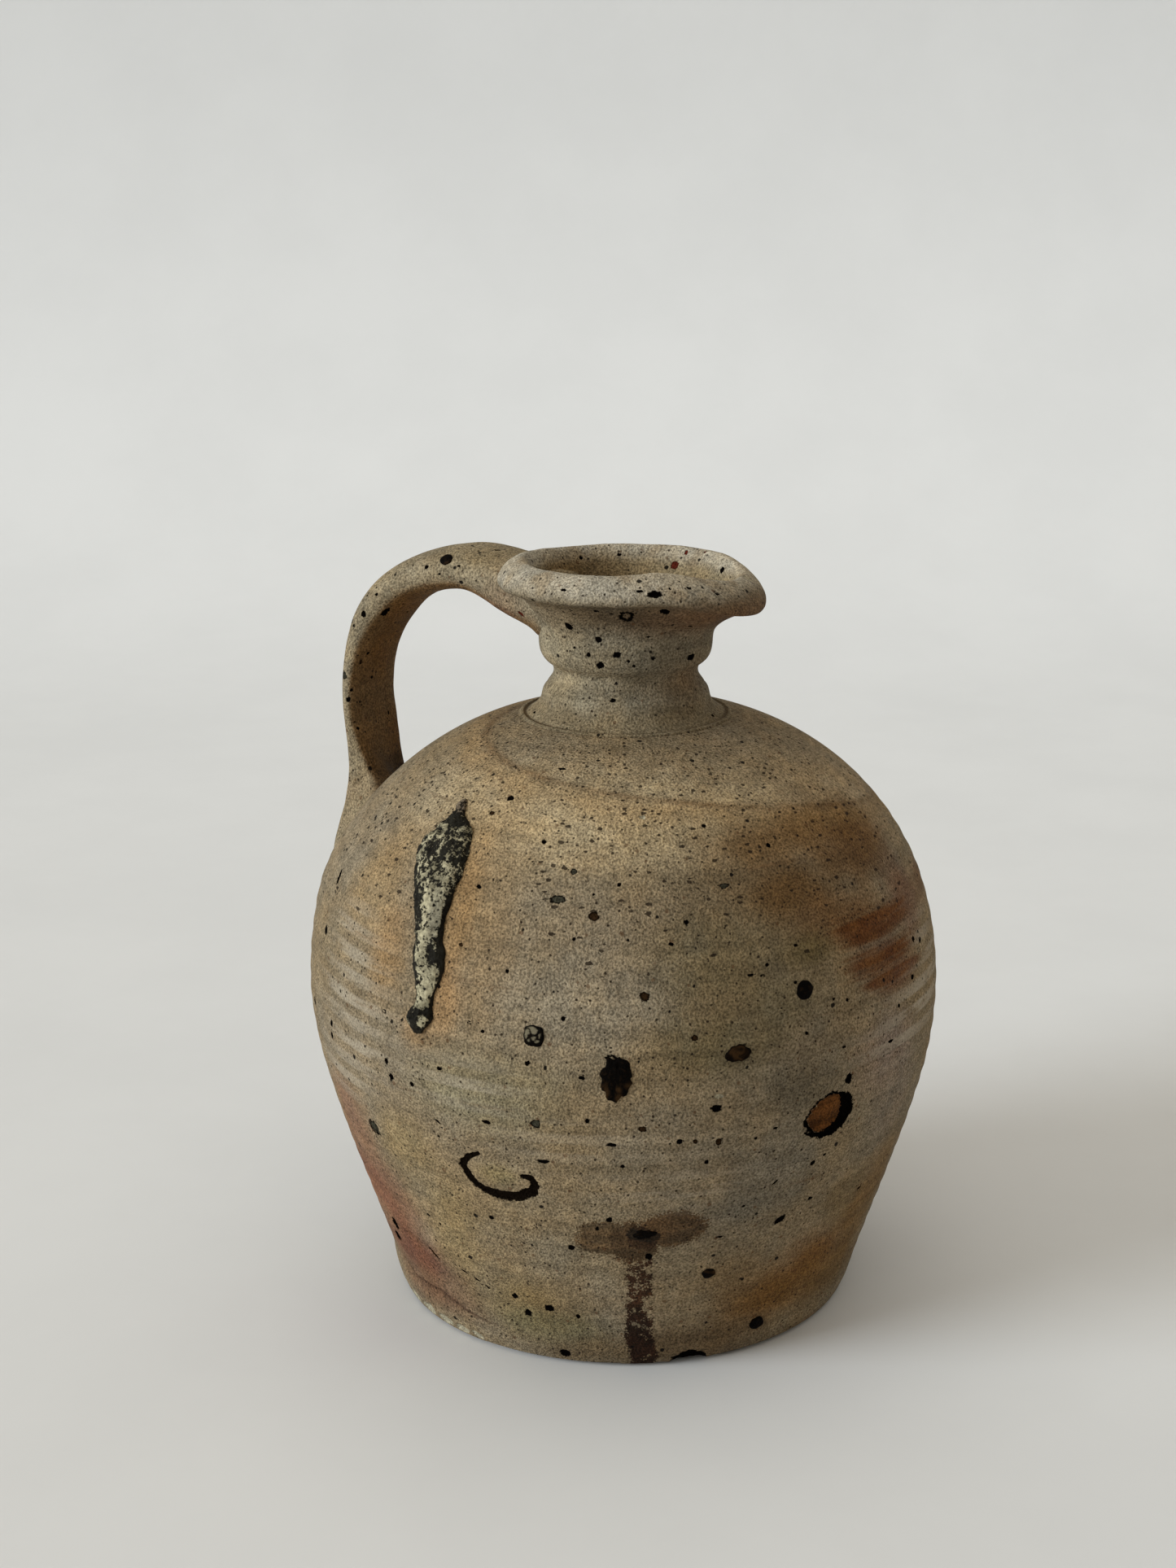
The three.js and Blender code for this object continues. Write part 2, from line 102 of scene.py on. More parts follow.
# Clay, ash and iron colours, in 0 to 255 as a colour mixer shows them
TAN, GREY_BEIGE, ASH_GREY, WART = (128, 111, 85), (124, 111, 91), (170, 158, 138), (136, 122, 98)
IRON_BLACK, IRON_BROWN, IRON_GREY = (8, 6, 5), (46, 32, 19), (58, 56, 46)
BARE_CHIP, SCAR_FLOOR, RED_GRAIN = (158, 150, 128), (78, 47, 20), (84, 34, 24)


def shade(red, green, blue):
    """The light that a mixer's colour stands for."""
    values = np.array([red, green, blue]) / 255
    return np.where(values <= 0.04045, values / 12.92, ((values + 0.055) / 1.055) ** 2.4)


# Working at the bench: selection, edit mode and modifiers


def clear_selection():
    if bpy.context.mode != "OBJECT":
        bpy.ops.object.mode_set(mode="OBJECT")
    bpy.ops.object.select_all(action="DESELECT")


def pick_up(piece):
    clear_selection()
    piece.select_set(True)
    bpy.context.view_layer.objects.active = piece


def named(name):
    piece = bpy.context.active_object
    piece.name = name
    piece.data.name = name
    return piece


def open_up():
    """Into edit mode, with everything picked."""
    bpy.ops.object.mode_set(mode="EDIT")
    bpy.ops.mesh.select_all(action="SELECT")


def close_up():
    """Turns all faces outwards and leaves edit mode."""
    bpy.ops.mesh.select_all(action="SELECT")
    bpy.ops.mesh.normals_make_consistent(inside=False)
    bpy.ops.object.mode_set(mode="OBJECT")


def pick_parts(piece, kind, wanted):
    """Into edit mode, with only the wanted faces or edges picked."""
    pick_up(piece)
    bpy.ops.object.mode_set(mode="EDIT")
    bpy.ops.mesh.select_mode(type=kind)
    bpy.ops.mesh.select_all(action="DESELECT")
    bpy.ops.object.mode_set(mode="OBJECT")
    parts = piece.data.polygons if kind == "FACE" else piece.data.edges
    parts.foreach_set("select", wanted)
    bpy.ops.object.mode_set(mode="EDIT")


def smoothed(piece, levels):
    """Rounds a piece off with a subdivision, applied at once."""
    pick_up(piece)
    modifier = piece.modifiers.new("subsurf", "SUBSURF")
    modifier.levels = modifier.render_levels = levels
    bpy.ops.object.modifier_apply(modifier=modifier.name)


def numbers_of(parts, what):
    flat = np.empty(len(parts) * 3)
    parts.foreach_get(what, flat)
    return flat.reshape(-1, 3)


def points_of(piece):
    return numbers_of(piece.data.vertices, "co") / MM


def normals_of(piece):
    return numbers_of(piece.data.vertices, "normal")


def set_points(piece, points):
    piece.data.vertices.foreach_set("co", (points * MM).ravel())
    piece.data.update()


def keep(piece, name, values):
    """Stores one number a point for the finishes to read."""
    layer = piece.data.attributes.new(name, "FLOAT", "POINT")
    layer.data.foreach_set("value", np.asarray(values, np.float32))


def refine(piece, spots, cuts=3):
    """Cuts the faces round each spot finer, so that a mark there has an edge of its own."""
    centres = numbers_of(piece.data.polygons, "center") / MM
    near = np.zeros(len(centres), bool)
    for place, reach in spots:
        near |= ((centres - place) ** 2).sum(1) < reach * reach
    pick_parts(piece, "FACE", near)
    bpy.ops.mesh.subdivide(number_cuts=cuts)
    bpy.ops.object.mode_set(mode="OBJECT")


# Soft steps, bumps and noise


def lumps(points, size, seed):
    """Smooth noise from -1 to 1 at each point, with lumps of about the given size."""
    shift = Vector((seed, 2 * seed, -seed))
    return np.array([noise.noise(Vector(p) / size + shift) for p in points])


def ease(value, low, high):
    t = np.clip((value - low) / (high - low), 0, 1)
    return t * t * (3 - 2 * t)


def bell(value, middle, width):
    """1 at the middle, and nearly nothing two widths away from it."""
    return np.exp(-(((value - middle) / width) ** 2))


def between(stops, share):
    """Straight run between (share, value) stops."""
    return np.interp(share, [s for s, _ in stops], [v for _, v in stops])


def turned(azimuth, centre):
    """Degrees from one azimuth to another, the short way round."""
    return (azimuth - centre + 180) % 360 - 180


def polar(points):
    """How far each point is from the jug's axis, and its angle round it."""
    return np.hypot(points[:, 0], points[:, 1]), np.arctan2(points[:, 1], points[:, 0])


# Line of sight


def view_axes():
    a, p = math.radians(VIEW_AZIMUTH), math.radians(VIEW_PITCH)
    right = np.array([math.cos(a), math.sin(a), 0])
    ahead = np.array([-math.sin(a) * math.cos(p), math.cos(a) * math.cos(p), -math.sin(p)])
    upward = np.array([-math.sin(a) * math.sin(p), math.cos(a) * math.sin(p), math.cos(p)])
    eye = np.array([math.sin(a) * VIEW_DISTANCE, -math.cos(a) * VIEW_DISTANCE, VIEW_HEIGHT])
    return right, ahead, upward, eye


def seen(piece, x, y):
    """The place on a piece that shows at a pixel of the photograph's frame, and its outward direction."""
    right, ahead, upward, eye = view_axes()
    line = ahead + right * (x - AXIS_X) / FOCAL_PIXELS + upward * (HORIZON_Y - y) / FOCAL_PIXELS
    hit, place, normal, _ = piece.ray_cast(Vector(eye * MM), Vector(line))
    return (np.array(place) / MM, np.array(normal)) if hit else (None, None)


def nearest(piece, place):
    """The place on a piece that is nearest to another, and its outward direction."""
    _, hit, normal, _ = piece.closest_point_on_mesh(Vector(place) * MM)
    return np.array(hit) / MM, np.array(normal)


# Outlines


def curve(p0, p1, p2, p3, count):
    """Points along a cubic curve, without its first point."""
    t = np.linspace(0, 1, count + 1)[1:, None]
    p0, p1, p2, p3 = (np.array(p) for p in (p0, p1, p2, p3))
    return (1 - t) ** 3 * p0 + 3 * (1 - t) ** 2 * t * p1 + 3 * (1 - t) * t**2 * p2 + t**3 * p3


def lengths_along(line):
    return np.concatenate([[0], np.cumsum(np.hypot(*np.diff(line, axis=0).T))])


def wall_line(below, above):
    """The body's outside from foot to shoulder: radius and height."""
    foot, belly, top = (BASE_RADIUS, 2.5), (BELLY_RADIUS, BELLY_HEIGHT), (FLANGE_RADIUS, SHOULDER_HEIGHT)
    lower = curve(foot, (97, 55), (BELLY_RADIUS, 88), belly, below)
    upper = curve(belly, (BELLY_RADIUS, 165), (74.4, 198.9), top, above)
    return np.vstack([[foot], lower, upper])


WALL = wall_line(120, 140)
WALL_LENGTH = lengths_along(WALL)


def wall_radius(height):
    return np.interp(height, WALL[:, 1], WALL[:, 0])


def wall_along(height):
    return np.interp(height, WALL[:, 1], WALL_LENGTH)


def wall_place(height, azimuth):
    a = math.radians(azimuth)
    radius = float(wall_radius(height))
    return np.array([radius * math.cos(a), radius * math.sin(a), height])


# Throwing the body and the neck


def thrown(name, outline):
    """A thrown piece: its outline drawn point by point, then spun once round the wheel and smoothed."""
    clear_selection()
    bpy.ops.mesh.primitive_plane_add(size=MM)
    piece = named(name)
    open_up()
    bpy.ops.mesh.merge(type="CENTER")
    bpy.ops.transform.translate(value=(outline[0][0] * MM, 0, outline[0][1] * MM))
    for (r0, z0), (r1, z1) in zip(outline, outline[1:]):
        move = ((r1 - r0) * MM, 0, (z1 - z0) * MM)
        bpy.ops.mesh.extrude_vertices_move(TRANSFORM_OT_translate={"value": move})
    bpy.ops.mesh.select_all(action="SELECT")
    bpy.ops.mesh.spin(steps=WHEEL_STEPS, angle=2 * math.pi, center=(0, 0, 0), axis=(0, 0, 1))
    bpy.ops.mesh.select_all(action="SELECT")
    bpy.ops.mesh.remove_doubles(threshold=0.005 * MM)
    close_up()
    smoothed(piece, 2)
    return piece


def make_body():
    wall = wall_line(15, 19)
    inside = [(r - BODY_WALL, z) for r, z in wall[::-4] if 20 < z < 150]
    closing = curve((THROAT_RADIUS + 1, 199.5), (60, 196), (97, 178), inside[0], 5)[:-1]
    outline = [(0, 0.8), (45, 0.6), (74, 0.0), (78.4, 0.1)]
    outline += [tuple(p) for p in wall]
    outline += [(29, 207.6), (THROAT_RADIUS, 206), (THROAT_RADIUS, 201)]
    outline += [tuple(p) for p in closing] + inside
    outline += [(66, FLOOR_THICKNESS + 1.5), (55, FLOOR_THICKNESS), (0, FLOOR_THICKNESS)]
    return thrown("body_clay", outline)


def outside_of(points):
    return (polar(points)[0] > wall_radius(points[:, 2]) - WALL_SKIN) & (points[:, 2] > 1.0)


def throw_ridges(body):
    """Trues the wall, then gives it the potter's finger ridges, a slight lean and hand-made lumps."""
    points = points_of(body)
    height = points[:, 2].copy()
    radius, azimuth = polar(points)
    outside = outside_of(points)
    wander = lumps(points * (1, 1, 0.4), 70.0, 3.1)
    phase = wall_along(height) / RIDGE_PITCH + azimuth / (2 * math.pi) + 0.35 * wander
    crest = (0.5 + 0.5 * np.cos(2 * math.pi * phase)) ** 1.5
    strength = 0.4 + 0.6 * np.clip(lumps(points, 45.0, 8.3) + 0.6, 0, 1)
    fade = ease(height, 4, 22) * (1 - ease(height, 165, 196))
    push = RIDGE_HEIGHT * (crest - 0.4) * strength * fade
    push += (0.45 * lumps(points, 60.0, 5.0) + 0.16 * lumps(points, 14.0, 6.0)) * ease(height, 2, 12)
    push *= 1 - ease(height, 196, 205)
    slack = BELLY_SLACK * bell(height, 122, 46) - FOOT_SPREAD * (1 - ease(height, 5, 20))
    slack -= FOOT_BULGE * bell(azimuth, -2.25, 0.5) * (1 - ease(height, 8, 19))
    by_root = np.radians(turned(np.degrees(azimuth), ROOT_AZIMUTH))
    slack -= ROOT_BULGE * np.exp(-((by_root / 0.45) ** 2) - ((height - 152) / 15) ** 2)
    true = np.where((height > 4) & (height < 205), wall_radius(height), radius) - slack
    grow = np.where(outside, (true + push) / np.maximum(radius, 1), 1)
    points[:, :2] *= grow[:, None]
    right = view_axes()[0]
    points -= LEAN * bell(height, 130, 45)[:, None] * right
    set_points(body, points)
    keep(body, "ridge", np.where(outside, crest * fade, 0))
    keep_turning(body, np.where(outside, wall_along(height), height))


def keep_turning(piece, along):
    """Stores how far round the wheel and along the wall each point is, so that streaks can follow the wheel."""
    points = points_of(piece)
    radius = np.maximum(polar(points)[0], 1)
    round_wheel = points[:, :2] / radius[:, None] * WHEEL_RADIUS
    layer = piece.data.attributes.new("wheel", "FLOAT_VECTOR", "POINT")
    layer.data.foreach_set("vector", (np.column_stack([round_wheel, along]) * MM).astype(np.float32).ravel())


def make_neck():
    outline = [(r, z + NECK_SEAT) for r, z in NECK_OUTLINE]
    return thrown("neck_clay", outline + outline[:1])


def pull_lip(neck):
    """Draws the clay above the collar out and down towards +X, and lets the rim wander as a hand leaves it."""
    points = points_of(neck)
    radius, angle = polar(points)
    start, under = NECK_SEAT + COLLAR_HEIGHT, NECK_SEAT + RIM_HEIGHT - RIM_ROLL
    turn = 1 - ease(np.abs(angle), 0, math.radians(LIP_HALF_ANGLE))
    pull = turn * ease(points[:, 2], start, under)
    points[:, :2] *= ((radius + LIP_REACH * pull) / radius)[:, None]
    points[:, 2] -= LIP_DROOP * pull * (radius / RIM_CREST_RADIUS) ** 2
    throat = np.exp(-(((angle + 0.5) / 0.42) ** 2) - ((points[:, 2] - start - 15) / 5.5) ** 2) * (radius > 28)
    points[:, :2] *= (1 + THROAT_FILL * throat / radius)[:, None]
    rim = ease(points[:, 2], start + 8, under + 4)
    wave = 0.9 * bell(angle, -0.75, 0.35) - 0.5 * bell(angle, -1.7, 0.6)
    wave -= 1.2 * ease(np.sin(angle), -0.3, 0.6)
    points[:, 2] += rim * wave
    push = 0.35 * lumps(points, 16.0, 1.7) + 0.13 * lumps(points, 5.0, 4.4)
    points += normals_of(neck) * (push * (0.35 + 0.65 * rim))[:, None]
    set_points(neck, points)
    keep_turning(neck, points[:, 2] + 0.6 * polar(points)[0])


# Pulling the handle


def strap_line():
    """The strap's centre line from the neck's wall over the arch and down into the shoulder, in even steps."""
    line, end = [[STRAP_START]], STRAP_START
    for first, second, stop, count in STRAP_STRETCHES:
        line.append(curve(end, first, second, stop, count))
        end = stop
    line = np.vstack(line)
    gone = lengths_along(line)
    steps = np.linspace(0, gone[-1], STRAP_STEPS + 1)
    return np.column_stack([np.interp(steps, gone, line[:, 0]), np.interp(steps, gone, line[:, 1])])


def pull_strap():
    """A ring of clay pulled along the line: moved on, turned and drawn thinner or thicker at each step."""
    line = strap_line()
    heading = np.arctan2(np.gradient(line[:, 1]), np.gradient(line[:, 0]))
    shares = np.linspace(0, 1, STRAP_STEPS + 1)
    heading = STRAP_START_TILT + (heading - STRAP_START_TILT) * ease(shares, 0, 0.22)
    thick, wide = between(STRAP_THICKNESS, shares), between(STRAP_WIDTH, shares)
    clear_selection()
    bpy.ops.mesh.primitive_circle_add(vertices=STRAP_SIDES, radius=MM, fill_type="NGON")
    strap = named("handle_clay")
    ring = points_of(strap)
    across = np.sign(ring[:, 0]) * np.abs(ring[:, 0]) ** 0.8 * wide[0] / 2
    through = np.sign(ring[:, 1]) * np.abs(ring[:, 1]) ** 0.8 * thick[0] / 2
    lean = heading[0]
    places = np.column_stack([-line[0, 0] + through * math.sin(lean), across, line[0, 1] + through * math.cos(lean)])
    set_points(strap, places)
    open_up()
    for i in range(1, STRAP_STEPS + 1):
        move = ((line[i - 1, 0] - line[i, 0]) * MM, 0, (line[i, 1] - line[i - 1, 1]) * MM)
        centre = (-line[i, 0] * MM, 0, line[i, 1] * MM)
        draw = thick[i] / thick[i - 1]
        bpy.ops.mesh.extrude_region_move(TRANSFORM_OT_translate={"value": move})
        bpy.ops.transform.rotate(value=heading[i - 1] - heading[i], orient_axis="Y", center_override=centre)
        bpy.ops.transform.resize(value=(draw, wide[i] / wide[i - 1], draw), center_override=centre)
    close_up()
    smoothed(strap, 3)
    down = np.flatnonzero(shares > 0.55)[::-1]
    square_off(strap, line[down], thick[down], wide[down])
    return strap


def square_off(strap, line, thick, wide):
    """Squares the strap's section below the bow, and thickens its near edge towards the shoulder."""
    points = points_of(strap)
    height = points[:, 2]
    middle = -np.interp(height, line[:, 1], line[:, 0])
    half_thick = np.interp(height, line[:, 1], thick / 2)
    below = points[:, 0] < -80
    a = np.abs(points[:, 1]) / np.interp(height, line[:, 1], wide / 2) + 1e-6
    b = np.abs(points[:, 0] - middle) / half_thick + 1e-6
    square = (a**2.5 + b**2.5) ** 0.4 / (a**4 + b**4) ** 0.25
    square = 1 + (square - 1) * (1 - ease(height, 178, 204)) * below
    points[:, 1] *= square
    points[:, 0] = middle + (points[:, 0] - middle) * square
    inner = ease((points[:, 0] - middle) / half_thick, 0.0, 0.9) * (points[:, 0] < -80)
    near, far = 1 - ease(points[:, 1], -15, 9), ease(points[:, 1], 0, 15)
    points[:, 0] += inner * (near * between(ROOT_WEDGE, height) - 1.4 * far * bell(height, 182, 9))
    set_points(strap, points)


def press_on(strap, neck, body):
    """Wraps the strap's end round the neck, and swells it where it is pressed on to the neck and the shoulder."""
    points = points_of(strap)
    edge = np.minimum(np.abs(points[:, 1]), 25)
    wrap = NECK_WRAP - np.sqrt(NECK_WRAP**2 - edge**2)
    points[:, 0] += 0.9 * wrap * (1 - ease(-points[:, 0], 30, 46))
    set_points(strap, points)
    points, out = points_of(strap), normals_of(strap)
    swell = np.zeros(len(points))
    for clay, most, reach in ((neck, 0.8, 5.0), (body, 3.6, 9.0)):
        for i, p in enumerate(points):
            _, place, normal, _ = clay.closest_point_on_mesh(Vector(p * MM))
            away = (Vector(p * MM) - place) / MM
            gap = away.length if away.dot(normal) > -0.5 * away.length else 0
            swell[i] = max(swell[i], most * max(1 - gap / reach, 0) ** 2)
    push = swell + 0.3 * lumps(points, 22.0, 2.2) + 0.12 * lumps(points, 6.0, 7.7)
    set_points(strap, points + out * push[:, None])


# Marks left by the fire: rows are height, azimuth, width and height in millimetres, and tilt where there is any

IRON_SPOTS = (
    (35.2, -124.2, 4.8, 3.8, -20), (29.4, -126.2, 4.6, 3.6, -20), (31.0, -100.2, 3.4, 0.9, -24),
    (29.1, -97.1, 3.4, 0.8, -24), (27.3, -94.6, 2.4, 0.9, -24), (192.5, -95, 2.5, 2.4), (183.3, -81.5, 1.6, 1.7),
    (169.8, -92.8, 1.8, 1.6), (173.4, -64.3, 1.5, 1.6), (170.7, -69.2, 1, 1.1), (158.4, -72.2, 1.3, 1.3),
    (158.5, -62.6, 1, 1), (147.7, -83.6, 1.4, 1.3), (134.9, -73.3, 1.5, 1.5), (128, -87.2, 1.4, 1.3),
    (111.9, -125.7, 2.3, 2.7), (107.4, -126.3, 2.4, 2.4), (112.7, -136.6, 3, 2.7), (140.7, -132.5, 2.9, 3.4),
    (200.4, -84.4, 2.9, 1.1), (162.9, -51.9, 1.8, 1.6), (187.2, -44.3, 1.6, 1.5), (180.4, -30.3, 1.9, 1.7),
    (104.3, -47.9, 3.7, 2.7), (55.6, -31.8, 5.1, 2.8, 25), (93.3, -54, 1.8, 2.2), (84.7, -49.1, 1.6, 2),
    (92.7, -65.4, 3.6, 1.6), (72.1, -35, 3, 1, 45), (54.6, -8.8, 3.2, 1.3), (60.9, -25.4, 2.4, 1.4),
    (64.9, -40.8, 1.7, 1.1), (53.8, -44.7, 2.6, 1.1), (76, -27.2, 1.7, 2.3), (77.8, -24.6, 1.4, 1.3),
    (93.4, -36.8, 1.8, 1.3), (91.1, -40.4, 1.1, 1.3), (128.6, -0.9, 2.9, 2), (137.6, 5.6, 2.8, 2.3),
    (140.2, 2, 2.6, 2), (122.2, -7.2, 1.5, 1.7), (111.7, -10.4, 3.2, 1.2), (116.5, -23.2, 2.1, 0.9),
    (124.7, -31.3, 1.6, 1.3), (131.8, -21.9, 1.8, 1.3), (133.7, -25, 1.4, 1.1), (141.8, -32.7, 1.5, 1.3),
    (148.6, -37.8, 1.4, 1.3), (146, -41.1, 2.8, 1), (145.3, -39.2, 1.1, 1), (152.4, -31.4, 1.6, 1.3),
    (157.1, -55, 1.8, 1), (48.2, -58.4, 2.4, 2.7), (109.6, -107.5, 1.9, 2.3), (104.6, -106.5, 2.3, 2.4),
    (104.4, -101.6, 1.7, 2.1), (112.7, -95.5, 1.6, 1.4), (116.2, -70.1, 2.3, 1.6), (119.6, -79.2, 1.6, 1.6),
    (84.9, -77.2, 4.6, 1.7), (93.1, -96.8, 2.9, 0.9, -35), (97.1, -86.8, 2.9, 1.5), (87.4, -97.1, 1.6, 1),
    (59, -89.1, 1.8, 2.1), (51.2, -73.5, 2.5, 3), (23.8, -79.8, 3.5, 3.1), (20, -85.2, 2.7, 3.1),
    (26.5, -87.6, 2.4, 2.3), (21.6, -73.5, 1.7, 2.4), (4.9, -77.4, 3.5, 4.2), (36.4, -124, 4.4, 3.4, 20),
    (28.6, -127, 4.2, 3, 20), (101.4, -69.3, 1.5, 1.8), (84.7, -63.5, 1.3, 1.7), (63.7, -66, 1.9, 2.6),
    (59.8, -68.3, 1.3, 1.8), (51.4, -105.9, 1.5, 1.4), (49, -103.2, 1.1, 1), (104.7, -21.7, 4.0, 3.2, 60),
    (157, -135, 2.4, 5.5, 25),
)
GREY_SPOTS = ((176.4, -73.6, 2.1, 2.2), (168.9, -76, 5, 2.9), (171.8, -43.5, 3.6, 1.9), (98.8, -78, 3.8, 3.6, 30))
BROWN_SPOTS = (
    (164.8, -68.9, 3.3, 3.1), (188.4, -97.6, 2, 1.7), (153, -93.3, 1.5, 1.3), (92.9, -51.3, 1.6, 1.9),
    (92, -47.2, 2.2, 2.6), (98.4, -60.2, 2.8, 2.2), (128.7, -51.7, 2.1, 2.1), (142.2, -59.8, 3.3, 3.1),
    (34, -109, 6.5, 1.0, -38),
)
RING_SPOTS = ((129.8, -89.7, 1.6, 1.4), (126.4, -108.2, 1.6, 1.3), (122.4, -65.3, 3.6, 2.4))
CHIPS = (
    (190, -58.8, 2.1, 1.6), (108.3, -47.6, 3.2, 1.7), (4.2, -127, 8.0, 5.0), (4.4, -119.5, 9.0, 5.6),
    (4.0, -112.5, 8.0, 5.0), (3.8, -106.5, 7.5, 4.4), (3.6, -101.5, 5.0, 3.4),
)
SCAR = (93.3, -25.5, 19.6, 15.4, 8)
BASE_CHIP = (3.4, -47.7, 12.5, 5.0)
GREY_BOIL = (80.4, -115.3, 6.6, 6.4)
HIDDEN_SEED, HIDDEN_COUNT = 41, 64

# A curled groove on the left of the belly, and the crease above the foot: height and azimuth along each
CURL = (
    (84.5, -89.2), (82.6, -91.3), (79, -92.9), (75.5, -92.1), (72.2, -90.8), (70.4, -89), (69.6, -86.9),
    (69.5, -84.5), (70.3, -82.1), (72.7, -79.6), (75.4, -79.1), (78.2, -79.7), (78.4, -81.2),
)
FOOT_CREASE = ((18.2, -128), (14.9, -122.6), (15.9, -111), (12.2, -101.9), (11.8, -99.4), (9.6, -88.2))
# Half the groove's width, by share of its length
CURL_HALF = ((0, 0.75), (0.1, 1.15), (0.2, 1.3), (0.35, 1.5), (0.5, 1.8), (0.7, 1.9), (0.85, 1.5), (1, 0.8))
# The spiral that the potter's finger left on the shoulder: degrees round from the middle of the view, and height
SPIRAL = ((-180, 215), (-22, 197.6), (13, 193.5), (52, 186.8), (73, 181.7), (180, 160))

# Fire colours on the body, partly painted light where the front of the shoulder is paler: height, azimuth, how tall
# and wide the patch is, colour and strength
FRONT_DABS = (
    (188, -63, 14, 90, (168, 149, 117), 0.85), (186, 0, 14, 40, (156, 137, 108), 0.8),
    (188, 120, 14, 110, (136, 119, 90), 0.7), (172, -94, 22, 20, (135, 111, 78), 0.6),
    (160, -96, 22, 8, (135, 106, 70), 0.6), (136, -95, 14, 8, (148, 114, 75), 0.6),
    (148, -87, 18, 10, (142, 116, 82), 0.5), (143, -109, 16, 10, (146, 114, 75), 0.65),
    (162, -119, 18, 14, (144, 119, 83), 0.65), (123, -100, 7, 7, (142, 112, 77), 0.6),
    (181, -33, 7, 22, (108, 80, 47), 0.8), (182, -10, 7, 26, (110, 82, 48), 0.8),
    (173, -5, 10, 24, (97, 67, 35), 0.85), (167, -30, 11, 22, (95, 68, 36), 0.8),
    (168, -47, 13, 18, (107, 91, 68), 0.75), (156, -18, 9, 24, (110, 80, 50), 0.8),
    (150, -28, 6.0, 14, (98, 84, 52), 0.7), (152, 4, 14, 14, (106, 76, 58), 0.75),
    (142, -10, 9, 20, (104, 80, 62), 0.75), (132, -6, 6.5, 18, (104, 78, 60), 0.8),
    (141, -46, 10, 20, (106, 90, 65), 0.7), (107, -31, 10, 18, (97, 87, 70), 0.8),
    (51, -126, 22, 30, (118, 79, 60), 0.9), (28, -118, 15, 29, (105, 68, 52), 0.95),
    (78, -126, 17, 18, (122, 90, 70), 0.8), (14, -116, 8, 26, (100, 72, 54), 0.8),
    (79, -106, 14, 15, (132, 113, 80), 0.75), (42, -100, 18, 13, (134, 113, 78), 0.75),
    (24, -86, 14, 20, (116, 98, 66), 0.8), (60, -98, 14, 12, (132, 114, 82), 0.7),
    (15, -80, 8, 20, (98, 92, 66), 0.6), (31, -18, 15, 22, (112, 76, 36), 0.88),
    (23, -30, 12, 24, (106, 74, 36), 0.88), (55, -14, 13, 14, (118, 98, 68), 0.75),
    (36, -40, 12, 16, (112, 90, 62), 0.6), (44, -2, 18, 16, (112, 86, 52), 0.8),
    (20, -8, 12, 22, (106, 80, 46), 0.8), (62, 0, 14, 14, (120, 96, 66), 0.7),
    (107, -86, 15, 30, (125, 116, 91), 0.7), (125, -48, 12, 24, (104, 92, 67), 0.85),
    (151, -45, 14, 24, (114, 101, 76), 0.8), (135, -35, 12, 20, (108, 97, 74), 0.7),
    (136, -72, 16, 26, (138, 125, 104), 0.75), (95, -56, 22, 30, (124, 112, 93), 0.7),
    (81, -35, 16, 22, (112, 103, 88), 0.75), (49, -74, 12, 24, (122, 110, 90), 0.7),
    (66, -40, 7, 20, (104, 98, 86), 0.6), (120, -28, 12, 16, (112, 101, 84), 0.6),
    (108, -10, 15, 20, (128, 111, 97), 0.85), (88, -6, 14, 16, (124, 110, 94), 0.7),
    (9, -45, 9, 30, (96, 77, 54), 0.85), (6, -70, 6, 22, (98, 82, 60), 0.7),
    (77.5, -86, 4.5, 7.5, (120, 106, 73), 0.7),
)
BACK_DABS = (
    (150, 60, 16, 46, (122, 96, 66), 0.8), (120, 95, 22, 40, (126, 114, 95), 0.7),
    (95, 45, 20, 40, (116, 104, 86), 0.75), (60, 70, 20, 34, (112, 84, 56), 0.8),
    (34, 120, 20, 40, (104, 74, 58), 0.85), (84, 140, 24, 40, (132, 112, 80), 0.7),
    (138, 140, 18, 34, (142, 116, 78), 0.7), (110, 178, 30, 34, (120, 106, 84), 0.7),
    (40, 178, 22, 34, (116, 94, 66), 0.7), (24, 40, 14, 40, (104, 82, 56), 0.8),
    (165, 100, 5, 30, (98, 66, 42), 0.7), (152, 20, 8, 22, (106, 78, 54), 0.7),
    (132, 35, 12, 26, (108, 95, 72), 0.7), (72, 25, 16, 30, (118, 108, 92), 0.7),
    (10, 120, 9, 60, (96, 78, 58), 0.8),
)
# Where iron bled into the clay, in the same order, and the azimuth where it ran down to the foot
BLEED = (
    (56.0, -66.8, 7.6, 10.6, (72, 52, 31), 0.78), (59.6, -54.2, 7.4, 11.8, (70, 48, 27), 0.82),
    (54.4, -61.4, 9.2, 8.6, (60, 42, 25), 0.85), (56.4, -59.9, 6.4, 6.0, (42, 26, 15), 0.92),
    (57.4, -59.8, 3.6, 6.6, (24, 17, 12), 0.95),
)
RUN_AZIMUTH = -60.0
# Where ash settled on the ridges: height, azimuth, how tall and wide, strength; and where the clay flashed rust
ASH_DABS = (
    (146, -121, 9, 12, 0.75), (137, -118, 10, 17, 0.9), (124, -118, 11, 20, 1.05), (110, -116, 10, 20, 0.95),
    (98, -122, 9, 16, 0.85), (119, 2, 10, 24, 1.35), (112, -6, 8, 22, 1.15), (126, 12, 8, 14, 1.25),
    (138, 8, 7, 12, 0.7), (108, -90, 9, 20, 0.6), (92, -70, 9, 30, 0.36), (76, -52, 8, 30, 0.42),
    (125, 95, 16, 40, 0.7), (105, 150, 14, 40, 0.7), (140, 175, 16, 30, 0.7),
)
RUST_DABS = ((150.6, -9.5, 5.6, 25), (140.6, -10.5, 4.4, 23), (133.4, -7, 3.6, 22))

